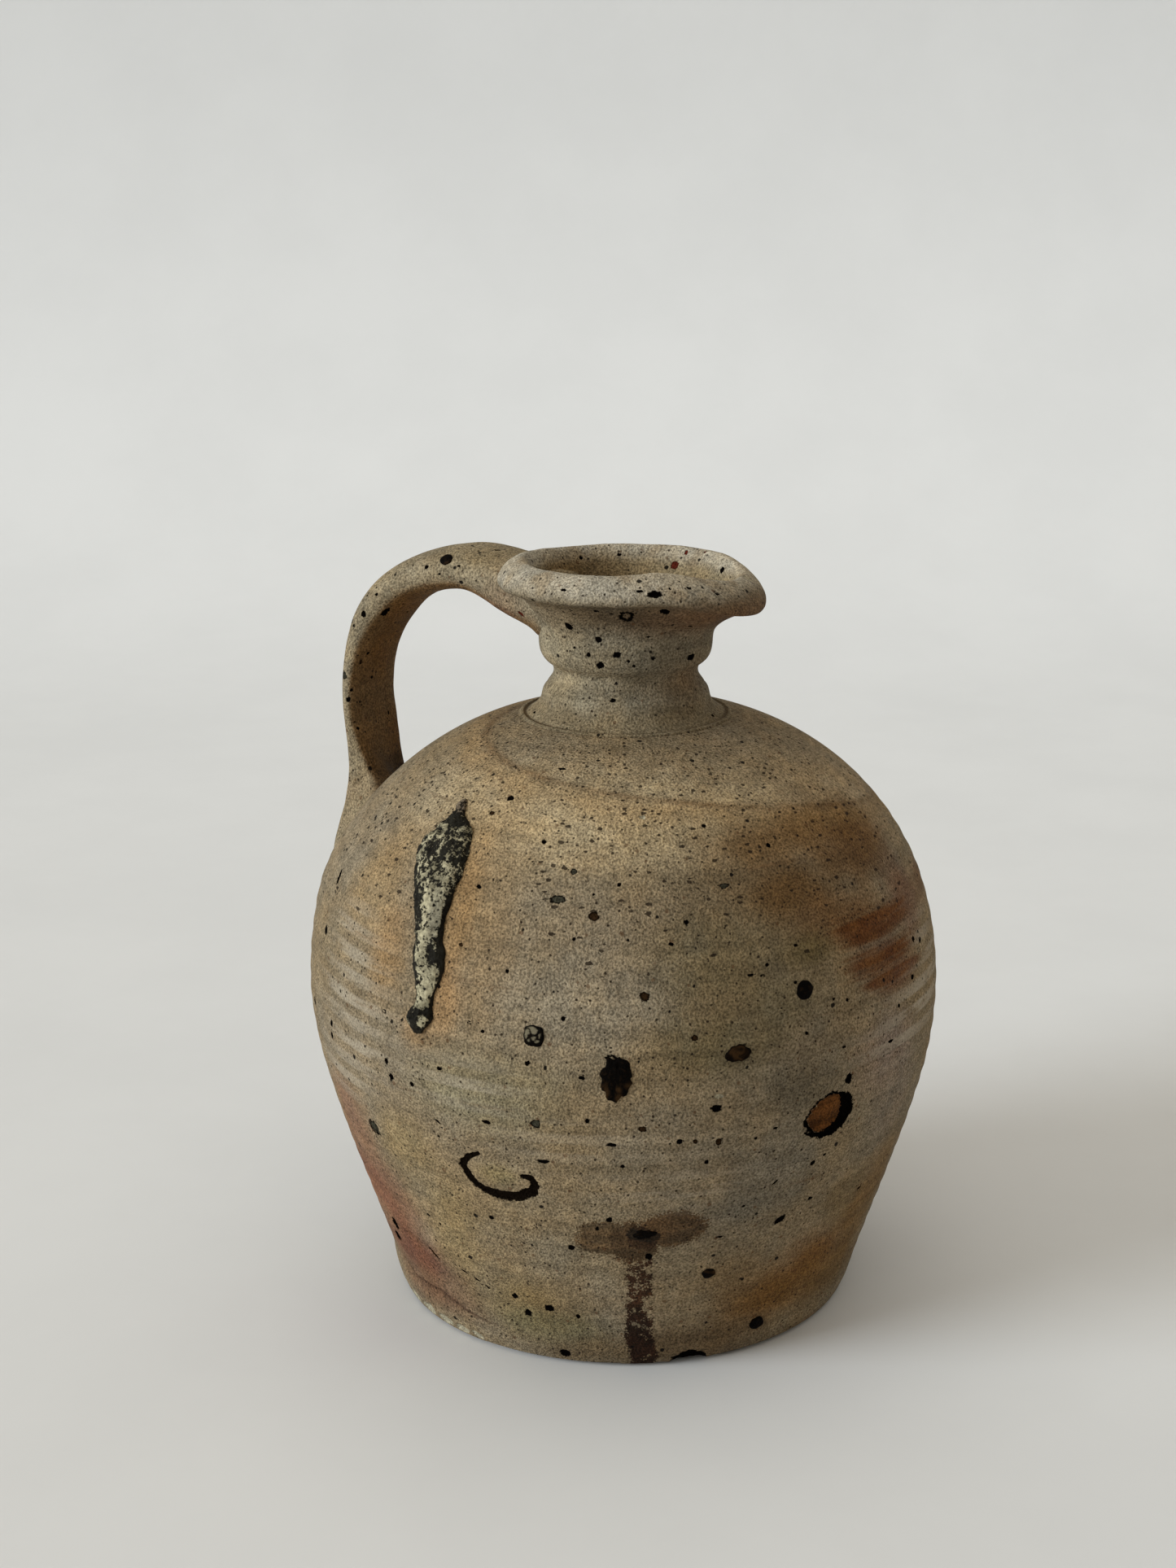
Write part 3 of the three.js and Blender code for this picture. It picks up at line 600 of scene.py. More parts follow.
# Marks on the neck: height above its seat, azimuth, radius there, width, height, and what it is if not iron
NECK_MARKS = (
    (45.8, 84, 31.1, 3.1, 3.3, "red"), (50.3, 78, 33.7, 1.5, 2.4, "red"), (51.2, 64, 34.9, 1.2, 1.4, "red"),
    (48.3, 146, 32.2, 1.6, 1.6), (48.7, 121, 32.4, 2.2, 1.1), (49.1, -91.6, 43, 2.7, 1.1),
    (44.6, -108, 42.5, 1.7, 1.5), (41.4, -78, 36.7, 2.3, 1.4), (40.6, -71, 35.8, 2.0, 1.1),
    (39.6, -62.6, 34.8, 5.4, 4.2, "ring"), (42.2, -43, 37.8, 3.5, 3.0), (48, -51, 43.3, 5.0, 2.6),
    (49.4, -57, 43, 2.6, 1.0), (34.2, -100, 31.5, 3.2, 2.8), (40.6, -92, 36.1, 1.2, 1.4),
    (29.7, -125, 30, 3.8, 3.2, "wart"), (30.5, -80.6, 30.2, 2.6, 2.0), (25, -87.6, 29.8, 2.1, 1.7),
    (21.6, -79.5, 29.4, 2.6, 2.6), (25.5, -68.7, 29.8, 2.7, 2.0), (23.3, -61.4, 29.6, 1.5, 1.2),
    (21.6, -57.7, 29.3, 1.2, 1.2), (23.8, -45, 29.7, 1.2, 1.2), (22.6, -15.5, 29.6, 3.4, 2.7),
    (26.9, -97.7, 29.9, 1.4, 1.2), (50, -34.5, 43.7, 1.8, 1.4), (50.1, -43.5, 43.3, 1.2, 1.3),
    (49.8, -27.9, 43.7, 1.3, 1.3), (47.1, -22.1, 45.8, 1.6, 1.5), (35.1, -25.3, 34.3, 2.0, 1.1),
    (35.2, -33.5, 33.2, 1.2, 1.2), (38.4, -49, 33.9, 1.0, 1.0), (31.5, -48.8, 30.5, 1.5, 1.0),
    (47.8, 37.2, 33.4, 2.6, 2.8), (9.4, -72, 27.3, 2.5, 1.6), (1.4, -138, 32.5, 2.0, 1.2),
    (1.4, 3.2, 32.6, 1.6, 1.4), (48.3, 10.8, 42.5, 2.6, 3.4, "pale"), (30, 60, 30, 2.4, 2.0),
    (24, 130, 29.8, 2.0, 1.8), (40, 100, 35, 2.2, 1.5, "brown"), (47, 170, 43, 2.0, 1.6),
)
# The same on the handle: distance out along -X, along Y and up, then width, height and what it is
HANDLE_MARKS = (
    (110.8, 3, 205, 2.2, 2.6), (108, -6, 226, 1.6, 1.6), (66, 7, 259, 2.2, 1.8), (84, -4, 254, 1.6, 1.6, "brown"),
    (110, -5, 188, 1.8, 2.0), (114, 8, 150, 2.0, 1.8),
)
# Those that show from the front: pixel across and down, width, height, what it is and tilt; and the bead's pixel
HANDLE_SEEN = (
    (474, 752, 2.6, 5.2, "iron", -28), (446.5, 754.5, 2.2, 2.6), (434.7, 768.8, 1.2, 1.2),
    (425, 783, 1.5, 2.6, "grey"), (423, 830, 2.4, 3.4, "grey"), (428, 860, 1.9, 2.0), (432, 848, 1.3, 1.3),
    (452.6, 803, 1.5, 1.4), (443.7, 813.6, 1.4, 1.8, "brown"), (457, 832, 1.5, 1.4), (477.7, 876, 1.3, 1.8),
    (450.8, 732, 1.2, 1.0), (462.7, 730.5, 1.3, 1.1), (524, 696.5, 1.8, 1.5, "iron", 20),
    (501, 752, 1.8, 1.1, "brown"), (495.6, 742.7, 1.2, 1.1), (540, 705.5, 1.2, 1.0), (564, 695.5, 1.3, 1.0),
    (612, 676, 2.4, 1.3, "brown", -20), (640.5, 755, 1.5, 3.2, "red", 55), (580, 670, 1.2, 1.0),
    (440, 895, 1.4, 1.3),
)
HANDLE_BEAD = (548.3, 687.6)

# Each paint's colour, how deep it sinks into the clay and how dark its edge is; the dark edge is partly painted
# shade round the edge of a pit
PAINTS = {
    "iron": (IRON_BLACK, 0.22, 0.0),
    "brown": (IRON_BROWN, 0.2, 0.8),
    "grey": (IRON_GREY, 0.25, 1.0),
    "ring": (IRON_BLACK, 0.15, 0.0),
    "red": (RED_GRAIN, 0.15, 0.4),
    "pale": (BARE_CHIP, 0.4, 0.0),
}


def chip_edge(u, v, seed):
    """How far out each place is in a many-sided chip: 1 on its edge."""
    chance = np.random.RandomState(seed)
    turns = np.linspace(0, 2 * math.pi, 8)[:-1] + chance.uniform(-0.3, 0.3, 7)
    reach = chance.uniform(0.74, 1.1, 7)
    return np.max([(u * math.cos(t) + v * math.sin(t)) / r for t, r in zip(turns, reach)], axis=0)


def tilted(u, v, tilt):
    t = math.radians(tilt)
    return u * math.cos(t) + v * math.sin(t), v * math.cos(t) - u * math.sin(t)


class Coat:
    """The colours, spots, stains and sink of each point of one piece, while its surface is being worked."""

    def __init__(self, piece, ground):
        self.piece = piece
        self.points, self.out = points_of(piece), normals_of(piece)
        count = len(self.points)
        self.tone = np.tile(shade(*ground), (count, 1))
        self.fields = {name: np.full(count, -1.0) for name in ("spot", "stain")}
        self.tones = {name: np.tile((*shade(*IRON_BLACK), 0.0), (count, 1)) for name in self.fields}
        self.sink, self.ash, self.rust = np.zeros(count), np.zeros(count), np.zeros(count)

    def lay(self, colour, weight, which=slice(None)):
        self.tone[which] += (shade(*colour) - self.tone[which]) * np.clip(weight, 0, 1)[:, None]

    def put(self, name, inside, colour, rim=0.0, which=None):
        """A mark with a sharp edge: inside is above 0 within it and falls off outwards."""
        which = np.arange(len(self.points)) if which is None else which
        inside = np.clip(inside, -1, 1)
        over = inside > np.minimum(self.fields[name][which], 0.0)
        self.tones[name][which[over]] = (*shade(*colour), rim)
        self.fields[name][which] = np.maximum(self.fields[name][which], inside)

    def round(self, rough, reach):
        """Points round a place on the surface: which they are, and how far across and up from it."""
        place, normal = nearest(self.piece, rough)
        across = np.cross((0, 0, 1), normal)
        across /= np.linalg.norm(across)
        offset = self.points - place
        which = np.flatnonzero(((offset**2).sum(1) < reach**2) & (self.out @ normal > 0.1))
        return which, offset[which] @ across, offset[which] @ np.cross(normal, across)

    def mark(self, rough, wide, tall, paint="iron", tilt=0):
        """One spot, pit or chip, with corners."""
        which, u, v = self.round(rough, max(wide, tall) + 1.5)
        u, v = tilted(u, v, tilt)
        edge = chip_edge(2 * u / wide, 2 * v / tall, int(abs(rough[2]) * 17 + abs(rough[0]) * 31))
        if paint == "wart":
            self.lay(WART, 1 - ease(edge, 0.7, 1.2), which)
            self.sink[which] -= 0.6 * (1 - ease(edge, 0.3, 1.2))
            return
        colour, depth, rim = PAINTS[paint]
        inside = 0.28 - np.abs(edge - 0.85) if paint == "ring" else 1 - edge
        self.put("spot", inside, colour, rim, which)
        self.sink[which] = np.maximum(self.sink[which], depth * (1 - ease(edge, 0.6, 1.1)))

    def settle(self):
        """Sinks the marks into the piece and stores its colours for the finish to read."""
        set_points(self.piece, self.points - self.out * self.sink[:, None])
        colours = {"tone": np.column_stack([self.tone, np.ones(len(self.tone))])}
        colours |= {name + "_tone": tones for name, tones in self.tones.items()}
        for name, values in colours.items():
            layer = self.piece.data.color_attributes.new(name, "FLOAT_COLOR", "POINT")
            layer.data.foreach_set("color", values.astype(np.float32).ravel())
        for name, values in {**self.fields, "ash": self.ash, "rust": self.rust}.items():
            keep(self.piece, name, values)


def hidden_spots():
    """Iron spots for the side that the photograph doesn't show, strewn by a fixed seed."""
    chance = np.random.RandomState(HIDDEN_SEED)
    azimuth = chance.uniform(32, 200, HIDDEN_COUNT)
    height = chance.uniform(8, 196, HIDDEN_COUNT)
    wide = 1.0 + 2.6 * chance.uniform(0, 1, HIDDEN_COUNT) ** 3
    tall = wide * chance.uniform(0.5, 1.1, HIDDEN_COUNT)
    return tuple(zip(height, azimuth, wide, tall, chance.uniform(-40, 40, HIDDEN_COUNT)))


# The body's marks, by what they are
BODY_MARKS = (
    ("iron", IRON_SPOTS), ("iron", hidden_spots()), ("grey", GREY_SPOTS), ("brown", BROWN_SPOTS),
    ("ring", RING_SPOTS), ("pale", CHIPS),
)


def cut_marks(body):
    """Cuts the wall finer where marks go."""
    spots = [row for _, rows in BODY_MARKS for row in rows]
    refine(body, [(wall_place(h, a), 1.4 + max(w, t) / 2) for h, a, w, t, *_ in spots])
    large = [(wall_place(h, a), 1.5 + max(w, t) / 2) for h, a, w, t, *_ in (SCAR, BASE_CHIP, GREY_BOIL)]
    large += [(wall_place(h, a), 2.6) for h, a in CURL]
    large += [(wall_place(h, a), 2.0 + max(tall, wide)) for h, a, tall, wide, _, _ in BLEED]
    large += [(wall_place(h, RUN_AZIMUTH), 6.5) for h in range(4, 50, 4)]
    large += [(wall_place(h, a), 2.2) for h, a in along_path(FOOT_CREASE, 24)]
    refine(body, large)


def along_path(path, count):
    path = np.array(path)
    share = np.linspace(0, len(path) - 1, count)
    return np.column_stack([np.interp(share, range(len(path)), path[:, k]) for k in (0, 1)])


def from_path(height, azimuth, path):
    """How far each point of the wall is from a path drawn on it, in millimetres, and how far along the path."""
    radius = wall_radius(height)
    closest, share = np.full(len(height), 1e9), np.zeros(len(height))
    line = along_path(path, 12 * len(path))
    for i, (h, a) in enumerate(line):
        gap = np.hypot(np.radians(turned(azimuth, a)) * radius, height - h)
        share = np.where(gap < closest, i / len(line), share)
        closest = np.minimum(closest, gap)
    return closest, share


def paint_body(body, height, azimuth, outside):
    """Fire colours first, then stains and grooves, then the marks."""
    coat = Coat(body, GREY_BEIGE)
    points, wall = coat.points, wall_radius(height)
    cloud, curd = lumps(points, 38.0, 12.0), lumps(points, 11.0, 13.0)

    def across(a, least=0):
        return np.radians(turned(azimuth, a)) * np.maximum(wall, least)

    coat.lay(TAN, 0.5 + 0.9 * cloud)
    for h, a, tall, wide, colour, strength in FRONT_DABS + BACK_DABS:
        far = np.hypot(across(a, 40) / wide, (height - h) / tall) + 0.22 * cloud + 0.18 * curd
        coat.lay(colour, strength * (1 - ease(far, 0.25, 1.35)))
    for h, a, tall, wide, strength in ASH_DABS:
        coat.ash = np.maximum(coat.ash, strength * bell(across(a), 0, wide) * bell(height, h, tall))
    for h, a, tall, wide in RUST_DABS:
        coat.rust = np.maximum(coat.rust, np.exp(-((across(a) / wide) ** 4)) * bell(height, h, tall))
    coat.lay((104, 88, 64), np.where(outside, 0, 1.0))

    bleed_iron(coat, height, across, outside)
    climb = between(SPIRAL, turned(azimuth, VIEW_AZIMUTH - 90))
    shoulder = outside & (height > 165)
    coat.lay((98, 72, 44), 0.7 * np.where(shoulder, bell(height, climb, 0.7), 0) * (0.85 + 0.5 * curd))
    drop = climb - height
    coat.lay((138, 110, 72), 0.4 * np.where(shoulder, ease(drop, 0, 1.5) * (1 - ease(drop, 2, 8)), 0))
    cut_grooves(coat, height, azimuth, outside)
    spall(coat)
    boil_and_chip(coat)
    for paint, spots in BODY_MARKS:
        for h, a, wide, tall, *tilt in spots:
            coat.mark(wall_place(h, a), wide, tall, paint, *tilt)
    coat.settle()


def bleed_iron(coat, height, across, outside):
    """Iron bled out round one lump like two wings, and ran down to the foot."""
    points = coat.points
    drift = 1.6 * lumps(points, 8.0, 21.0) + 1.2 * lumps(points, 2.8, 22.0) + 0.5 * lumps(points, 1.3, 25.0)
    for h, a, tall, wide, colour, strength in BLEED:
        far = np.hypot((across(a) + drift) / wide, (height - h + 0.8 * drift) / tall)
        coat.put("stain", np.where(outside, 2.5 * (0.95 - far), -1), colour, strength)
    bend = across(RUN_AZIMUTH) - 1.2 * ease(height, 18, 4) + 0.75 * drift
    run = 1 - np.abs(bend) / (4.0 + 0.8 * ease(height, 30, 8))
    blotch = 0.22 + 0.9 * lumps(points, 3.2, 23.0) + 0.5 * lumps(points, 1.4, 24.0) + 0.5 * ease(height, 24, 6)
    blotch -= 0.4 * ease(height, 36, 47)
    for top, colour, strength in ((47.5, (44, 24, 13), 0.94), (22 + 5 * drift, (33, 17, 10), 0.96)):
        coat.put("stain", np.where(outside & (height < top), np.minimum(2.0 * run, blotch), -1), colour, strength)


def cut_grooves(coat, height, azimuth, outside):
    """The curled groove, black inside, and the crease above the foot, sunk and darkened with painted shade."""
    gap, share = from_path(height, azimuth, CURL)
    edge = gap / between(CURL_HALF, share) + 0.30 * lumps(coat.points, 1.3, 31.0)
    coat.put("spot", np.where(outside, 1 - edge, -1), (17, 12, 8))
    coat.sink += np.where(outside, 0.5 * (1 - ease(edge, 0.6, 1.1)), 0)
    gap, share = from_path(height, azimuth, FOOT_CREASE)
    groove = np.where(outside, 1 - ease(gap, 0.25, 1.1), 0) * (1 - ease(share, 0.7, 1.0))
    # Painted shade: the crease above the foot darkened
    coat.lay((60, 42, 32), 0.75 * groove)
    coat.sink += 0.55 * groove


def spall(coat):
    """A flake blown out of the wall: rusty floor, burnt edge thickest at the lower right."""
    h, a, wide, tall, tilt = SCAR
    which, u, v = coat.round(wall_place(h, a), wide)
    x, y = tilted(u, v, tilt)
    points = coat.points[which]
    q = np.hypot(x / (wide / 2), y / (tall / 2)) + 0.16 * lumps(points, 2.6, 5.5) + 0.10 * lumps(points, 0.9, 5.9)
    coat.put("stain", 2.0 * (0.95 - q), SCAR_FLOOR, 1.0, which)
    inner = 0.82 - 0.24 * ease((u - 0.4 * v) / (wide / 2), -0.2, 0.8)
    coat.put("spot", 4.0 * np.minimum(q - inner, 1.08 - q), IRON_BLACK, 0.0, which)
    coat.sink[which] += 1.1 * (1 - ease(q, 0.82, 1.02))


def boil_and_chip(coat):
    """A grey boil on the left with a black edge, and a black chip out of the foot."""
    which, u, v = coat.round(wall_place(*GREY_BOIL[:2]), 6)
    q = np.hypot(u, v) / 3.1 + 0.2 * lumps(coat.points[which], 1.4, 3.3)
    coat.put("spot", 0.75 - q, IRON_GREY, 0.7, which)
    coat.put("spot", 0.2 - np.abs(q - 0.85) - 0.3 * ease(u + v, -0.5, 2.5), IRON_BLACK, 0.0, which)
    which, u, v = coat.round(wall_place(*BASE_CHIP[:2]), 9)
    q = np.hypot(u / 6.6, (v + 3.0) / 5.8) + 0.15 * lumps(coat.points[which], 1.5, 3.9)
    coat.put("spot", 2.5 * (1.0 - q), IRON_BLACK, 0.0, which)
    coat.sink[which] += 1.0 * (1 - ease(q, 0.6, 1.05))


def paint_neck(neck):
    coat = Coat(neck, (126, 116, 97))
    points = coat.points
    height = points[:, 2] - NECK_SEAT
    radius, azimuth = polar(points)
    azimuth = np.degrees(azimuth)
    cloud, curd = lumps(points, 24.0, 15.0), lumps(points, 7.0, 16.0)
    inside = np.einsum("ij,ij->i", coat.out[:, :2], points[:, :2]) / radius < -0.15
    under = bell(height, 38, 6.5)

    def towards(a, width):
        return bell(turned(azimuth, a), 0, width)

    coat.lay((124, 109, 84), 0.8 * (1 - ease(height + 2 * cloud, 3, 9)))
    coat.lay((116, 99, 75), 0.35 * bell(height, 13, 3.5) * (0.7 + 0.6 * curd))
    # Painted shade: a dark band under the rolled rim
    coat.lay((70, 55, 37), under * (0.85 + 0.5 * cloud))
    coat.lay((112, 102, 84), 0.6 * bell(height, 26, 5))
    # Painted shade in the two creases round the neck's foot
    crease_shade = np.maximum(bell(radius, 34.4, 0.45), ease(radius, 36.4, 37.0))
    crease_shade = 0.55 * crease_shade * (1 - ease(height, 0.5, 2)) * (0.9 + 0.8 * curd)
    coat.lay((58, 43, 28), np.where(inside, 0, crease_shade))
    coat.lay((146, 132, 106), 0.7 * towards(-122, 30) * ease(height, 5, 10) * (1 - ease(height, 30, 38)))
    # The painted shade under the rim, warmer to the right and paler at the front left
    coat.lay((110, 86, 64), under * towards(-15, 40))
    coat.lay((124, 111, 90), 0.8 * under * towards(-115, 30))
    coat.lay((112, 88, 62), 0.6 * towards(-10, 30) * bell(height, 14, 8))
    coat.lay((162, 152, 134), ease(height + 1.5 * curd, 43.5, 48.5) * 0.92)
    coat.lay((138, 122, 94), np.where(inside, 1 - ease(height, 44, 51), 0))
    # Painted shade inside the throat: darker towards its back left and deeper down
    coat.lay((106, 88, 62), np.where(inside, towards(165, 45) * (1 - ease(height, 45, 52)), 0))
    coat.lay((96, 80, 58), np.where(inside, 1 - ease(height, 18, 38), 0))
    coat.lay((128, 108, 80), 0.45 * ease(curd, 0.1, 0.6) * ease(height, 44, 47))
    for h, a, r, *mark in NECK_MARKS:
        t = math.radians(a)
        coat.mark((r * math.cos(t), r * math.sin(t), h + NECK_SEAT), *mark)
    coat.settle()


def paint_handle(handle):
    coat = Coat(handle, (128, 116, 95))
    points, height = coat.points, coat.points[:, 2]
    cloud, curd = lumps(points, 26.0, 17.0), lumps(points, 8.0, 18.0)
    coat.lay((134, 118, 90), 0.5 + 0.8 * cloud)
    inward = np.array([-66.0, 0, 205.0]) - points * (1, 0, 1)
    inward /= np.linalg.norm(inward, axis=1)[:, None]
    inner = ease(np.einsum("ij,ij->i", coat.out, inward), 0.15, 0.75)
    coat.lay((110, 80, 46), inner * (0.85 + 0.4 * cloud))
    by_neck = np.exp(-(((points - (-38, -12, 246)) / (9, 14, 8)) ** 2).sum(1))
    coat.lay((128, 94, 78), 0.7 * by_neck * (0.8 + 0.6 * curd))
    # Painted light: paler on the strap's narrow edges, the faces that face along Y
    coat.lay((140, 127, 104), 0.6 * ease(np.abs(coat.out[:, 1]), 0.6, 0.95) * (0.8 + 0.6 * curd))
    coat.lay((116, 88, 58), 0.4 * bell(height, 165, 12) * (0.7 + 0.6 * curd))
    # Painted shade in the inner corner where the strap comes down on to the shoulder
    coat.lay((46, 34, 22), 0.8 * inner * bell(height, 172, 8))
    for out, side, up, *mark in HANDLE_MARKS:
        coat.mark((-out, side, up), *mark)
    for x, y, *mark in HANDLE_SEEN:
        place, _ = seen(handle, x, y)
        if place is not None:
            coat.mark(place, *mark)
    coat.settle()


# Slag that ran down the left of the body, and iron that melted out of it

# Left and right edge of the run, from its top down: height and azimuth of each, then how far it stands out
SLAG_RUN = (
    (190.2, -109.9, 190.5, -108.4, 0.5), (188.0, -109.8, 188.8, -106.2, 1.6), (186.4, -107.9, 187.0, -105.2, 2.0),
    (182.9, -109.6, 185.0, -101.6, 3.2), (180.3, -110.8, 183.2, -99.7, 3.8), (176.8, -112.2, 180.5, -98.6, 4.4),
    (173.5, -111.5, 177.4, -97.7, 4.6), (168.4, -108.9, 172.0, -97.0, 4.5), (165.3, -107.6, 168.5, -97.4, 4.3),
    (161.0, -106.1, 163.9, -97.5, 4.0), (156.7, -104.6, 159.2, -97.4, 3.7), (152.2, -103.6, 154.5, -97.3, 3.4),
    (148.6, -103.2, 151.1, -96.4, 3.3), (146.1, -103.1, 149.0, -95.6, 3.4), (143.8, -102.6, 146.6, -95.4, 3.3),
    (141.6, -101.9, 144.1, -95.6, 3.1), (138.0, -101.4, 140.1, -96.2, 2.8), (134.4, -100.7, 136.0, -97.0, 2.4),
    (132.0, -101.2, 133.9, -97.0, 2.7), (129.9, -102.1, 132.2, -96.9, 3.4), (127.0, -102.5, 129.7, -96.6, 3.7),
    (124.6, -101.9, 126.9, -97.2, 3.3), (123.0, -101.0, 124.2, -98.4, 2.0), (122.3, -99.9, 122.6, -99.2, 0.6),
)
SLAG_SIDES, SLAG_ROOT = 16, 1.5
# Lumps of melted iron standing in the wall: node, height, azimuth, width, height, raggedness and how brown
IRON_LUMPS = (
    ("iron_blob_front", 115.9, -64.5, 9.4, 14.0, 0.34, 0.45), ("iron_bead_left", 128.7, -78.2, 7.0, 6.8, 0.16, 0.0),
    ("iron_bead_right", 138.5, -31.0, 6.3, 6.2, 0.08, 0.0), ("iron_bead_brown", 122.1, -44.2, 8.8, 5.6, 0.26, 0.9),
    ("iron_bleed_core", 57.6, -59.7, 7.0, 4.0, 0.5, 0.1), ("iron_bead_low", 38.9, -45.9, 4.4, 4.3, 0.2, 0.3),
    ("iron_bead_foot", 11.6, -31.0, 5.6, 4.9, 0.16, 0.0),
)
HANDLE_LUMP = ("iron_bead_handle", 4.6, 4.4, 0.15, 0.2)


def run_slag(body):
    """A bead of slag drawn down the wall ring by ring, wide and narrow as it flowed."""
    clear_selection()
    bpy.ops.mesh.primitive_circle_add(vertices=SLAG_SIDES, radius=MM, fill_type="NGON")
    slag = named("kiln_slag")
    open_up()
    for _ in SLAG_RUN[1:]:
        bpy.ops.mesh.extrude_region_move(TRANSFORM_OT_translate={"value": (0, 0, MM)})
    bpy.ops.object.mode_set(mode="OBJECT")
    points = points_of(slag)
    row = np.round(points[:, 2]).astype(int)
    turn = polar(points)[1]
    for i, (left, left_turn, right, right_turn, rise) in enumerate(SLAG_RUN):
        for k in np.flatnonzero(row == i):
            share = 0.5 + 0.5 * math.cos(turn[k])
            rough = wall_place(left + (right - left) * share, left_turn + (right_turn - left_turn) * share)
            place, out = nearest(body, rough)
            lift = math.sin(turn[k])
            points[k] = place + out * (rise * lift if lift > 0 else SLAG_ROOT * lift)
    set_points(slag, points)
    pick_up(slag)
    open_up()
    close_up()
    smoothed(slag, 3)
    char_and_shadow_slag(slag)
    return slag


def char_and_shadow_slag(slag):
    """Roughens the slag, and blackens it down its edges and in patches; down its right edge the black is partly
    painted shadow.
    """
    coat = Coat(slag, (172, 163, 134))
    points, height = coat.points, coat.points[:, 2]
    push = 0.55 * lumps(points, 4.5, 2.9) + 0.30 * lumps(points, 1.9, 3.7) + 0.12 * lumps(points, 0.8, 4.1)
    coat.points = points + coat.out * push[:, None]
    azimuth = np.degrees(polar(points)[1])
    rows = np.array(SLAG_RUN)[::-1]
    level = rows[:, (0, 2)].mean(1)
    middle = np.interp(height, level, rows[:, (1, 3)].mean(1))
    side = turned(azimuth, middle) / np.interp(height, level, (rows[:, 3] - rows[:, 1]) / 2)
    cloud, curd, fleck = lumps(points, 6.0, 41.0), lumps(points, 2.1, 42.0), lumps(points, 0.85, 43.0)
    coat.lay((126, 119, 96), ease(cloud, -0.2, 0.4) * 0.8)
    char_and_shadow = np.full(len(points), -0.20) + 0.25 * curd
    char_and_shadow += 0.60 * ease(-side, -0.1, 0.4) * bell(height, 160, 9)
    char_and_shadow += 0.42 * bell(height, 178, 7) * (1 - 0.8 * ease(-side, 0.25, 0.6))
    # Black strip down the lower right edge: black crust and painted shadow on the run's shaded side
    char_and_shadow += 1.0 * ease(side, 0.78, 0.95) * ease(height, 176, 160)
    char_and_shadow += 0.7 * ease(side, 0.1, 0.5) * bell(height, 149, 3.5)
    char_and_shadow += 0.6 * ease(-side, 0.35, 0.75) * bell(height, 141, 7)
    char_and_shadow += 0.5 * ease(-side, 0.45, 0.95) + 0.6 * ease(height, 184.0, 185.8) - 0.5 * ease(height, 187.2, 188.2)
    char_and_shadow += 0.75 * ease(height, 133.5, 130) - 1.1 * bell(side, 0.55, 0.3) * bell(height, 128, 2.2)
    char_and_shadow -= 1.0 * bell(side, -0.75, 0.2) * bell(height, 127.5, 2.5)
    coat.lay((112, 108, 95), 0.7 * ease(side, 0.1, 0.5) * bell(height, 160, 9))
    coat.lay((104, 90, 76), 0.9 * ease(height, 186.4, 188.0))
    coat.fields["spot"] = np.clip(char_and_shadow, -1, 1)
    coat.sink[:] = 0.3 * ease(char_and_shadow + 0.75 * curd + 0.55 * fleck, 0.12, 0.34)
    coat.settle()


def drop_iron(clay, place, out, name, wide, tall, ragged, brown):
    """A flattened drop of melt with an uneven edge, rooted in the clay."""
    clear_selection()
    bpy.ops.mesh.primitive_uv_sphere_add(segments=36, ring_count=20, radius=MM)
    lump = named(name + "_melt")
    open_up()
    bpy.ops.transform.resize(value=(wide / 2, tall / 2, 1.0), center_override=(0, 0, 0))
    bpy.ops.object.mode_set(mode="OBJECT")
    ball = points_of(lump)
    x, y, up = ball[:, 0] / wide, ball[:, 1] / tall, ball[:, 2]
    across = np.cross((0, 0, 1), out)
    across /= np.linalg.norm(across)
    upward = np.cross(out, across)
    seat = place + ball[:, :1] * across + ball[:, 1:2] * upward
    rim = 1 + ragged * (lumps(seat, 2.2, 51.0) + 0.5 * lumps(seat, 1.0, 52.0))
    if name == "iron_bead_left":
        flat = np.abs(np.stack([x, y])) + 1e-6
        rim *= np.hypot(*flat) / np.maximum(*flat) * 0.3 + 0.66
    lift = np.where(up > 0, IRON_CROWN * np.sqrt(np.abs(up)), IRON_ROOT * up)
    points = np.empty_like(ball)
    for i, (u, v, _) in enumerate(ball):
        hit, normal = nearest(clay, place + u * rim[i] * across + v * rim[i] * upward)
        points[i] = hit + normal * lift[i]
    bumps = 0.16 * lumps(points, 1.6, 53.0) + 0.08 * lumps(points, 0.7, 54.0)
    set_points(lump, points + out * (bumps * (up > 0.05))[:, None])
    coat = Coat(lump, IRON_BLACK)
    curd = lumps(coat.points, 2.4, 55.0)
    low = ease(-y, 0.02, 0.2) if name == "iron_blob_front" else 1.0
    coat.lay((60, 42, 24), ease(curd + 1.4 * brown, 0.6, 1.2) * 0.9 * low)
    if name == "iron_bead_brown":
        edge = np.hypot(2 * x, 2 * y) + 0.5 * curd
        coat.lay(IRON_BLACK, 0.95 * np.maximum(ease(edge, 0.7, 0.92), 0.8 * ease(x + 0.4 * curd, 0.08, 0.2)))
    if name == "iron_bead_left":
        panel = lumps(coat.points, 2.3, 57.0)
        inner = ease(0.40 - np.hypot(x + 0.04, y - 0.05), 0.0, 0.05)
        coat.lay((118, 110, 90), 0.95 * ease(np.abs(panel), 0.09, 0.17) * inner)
    coat.settle()
    return lump


# Finishes


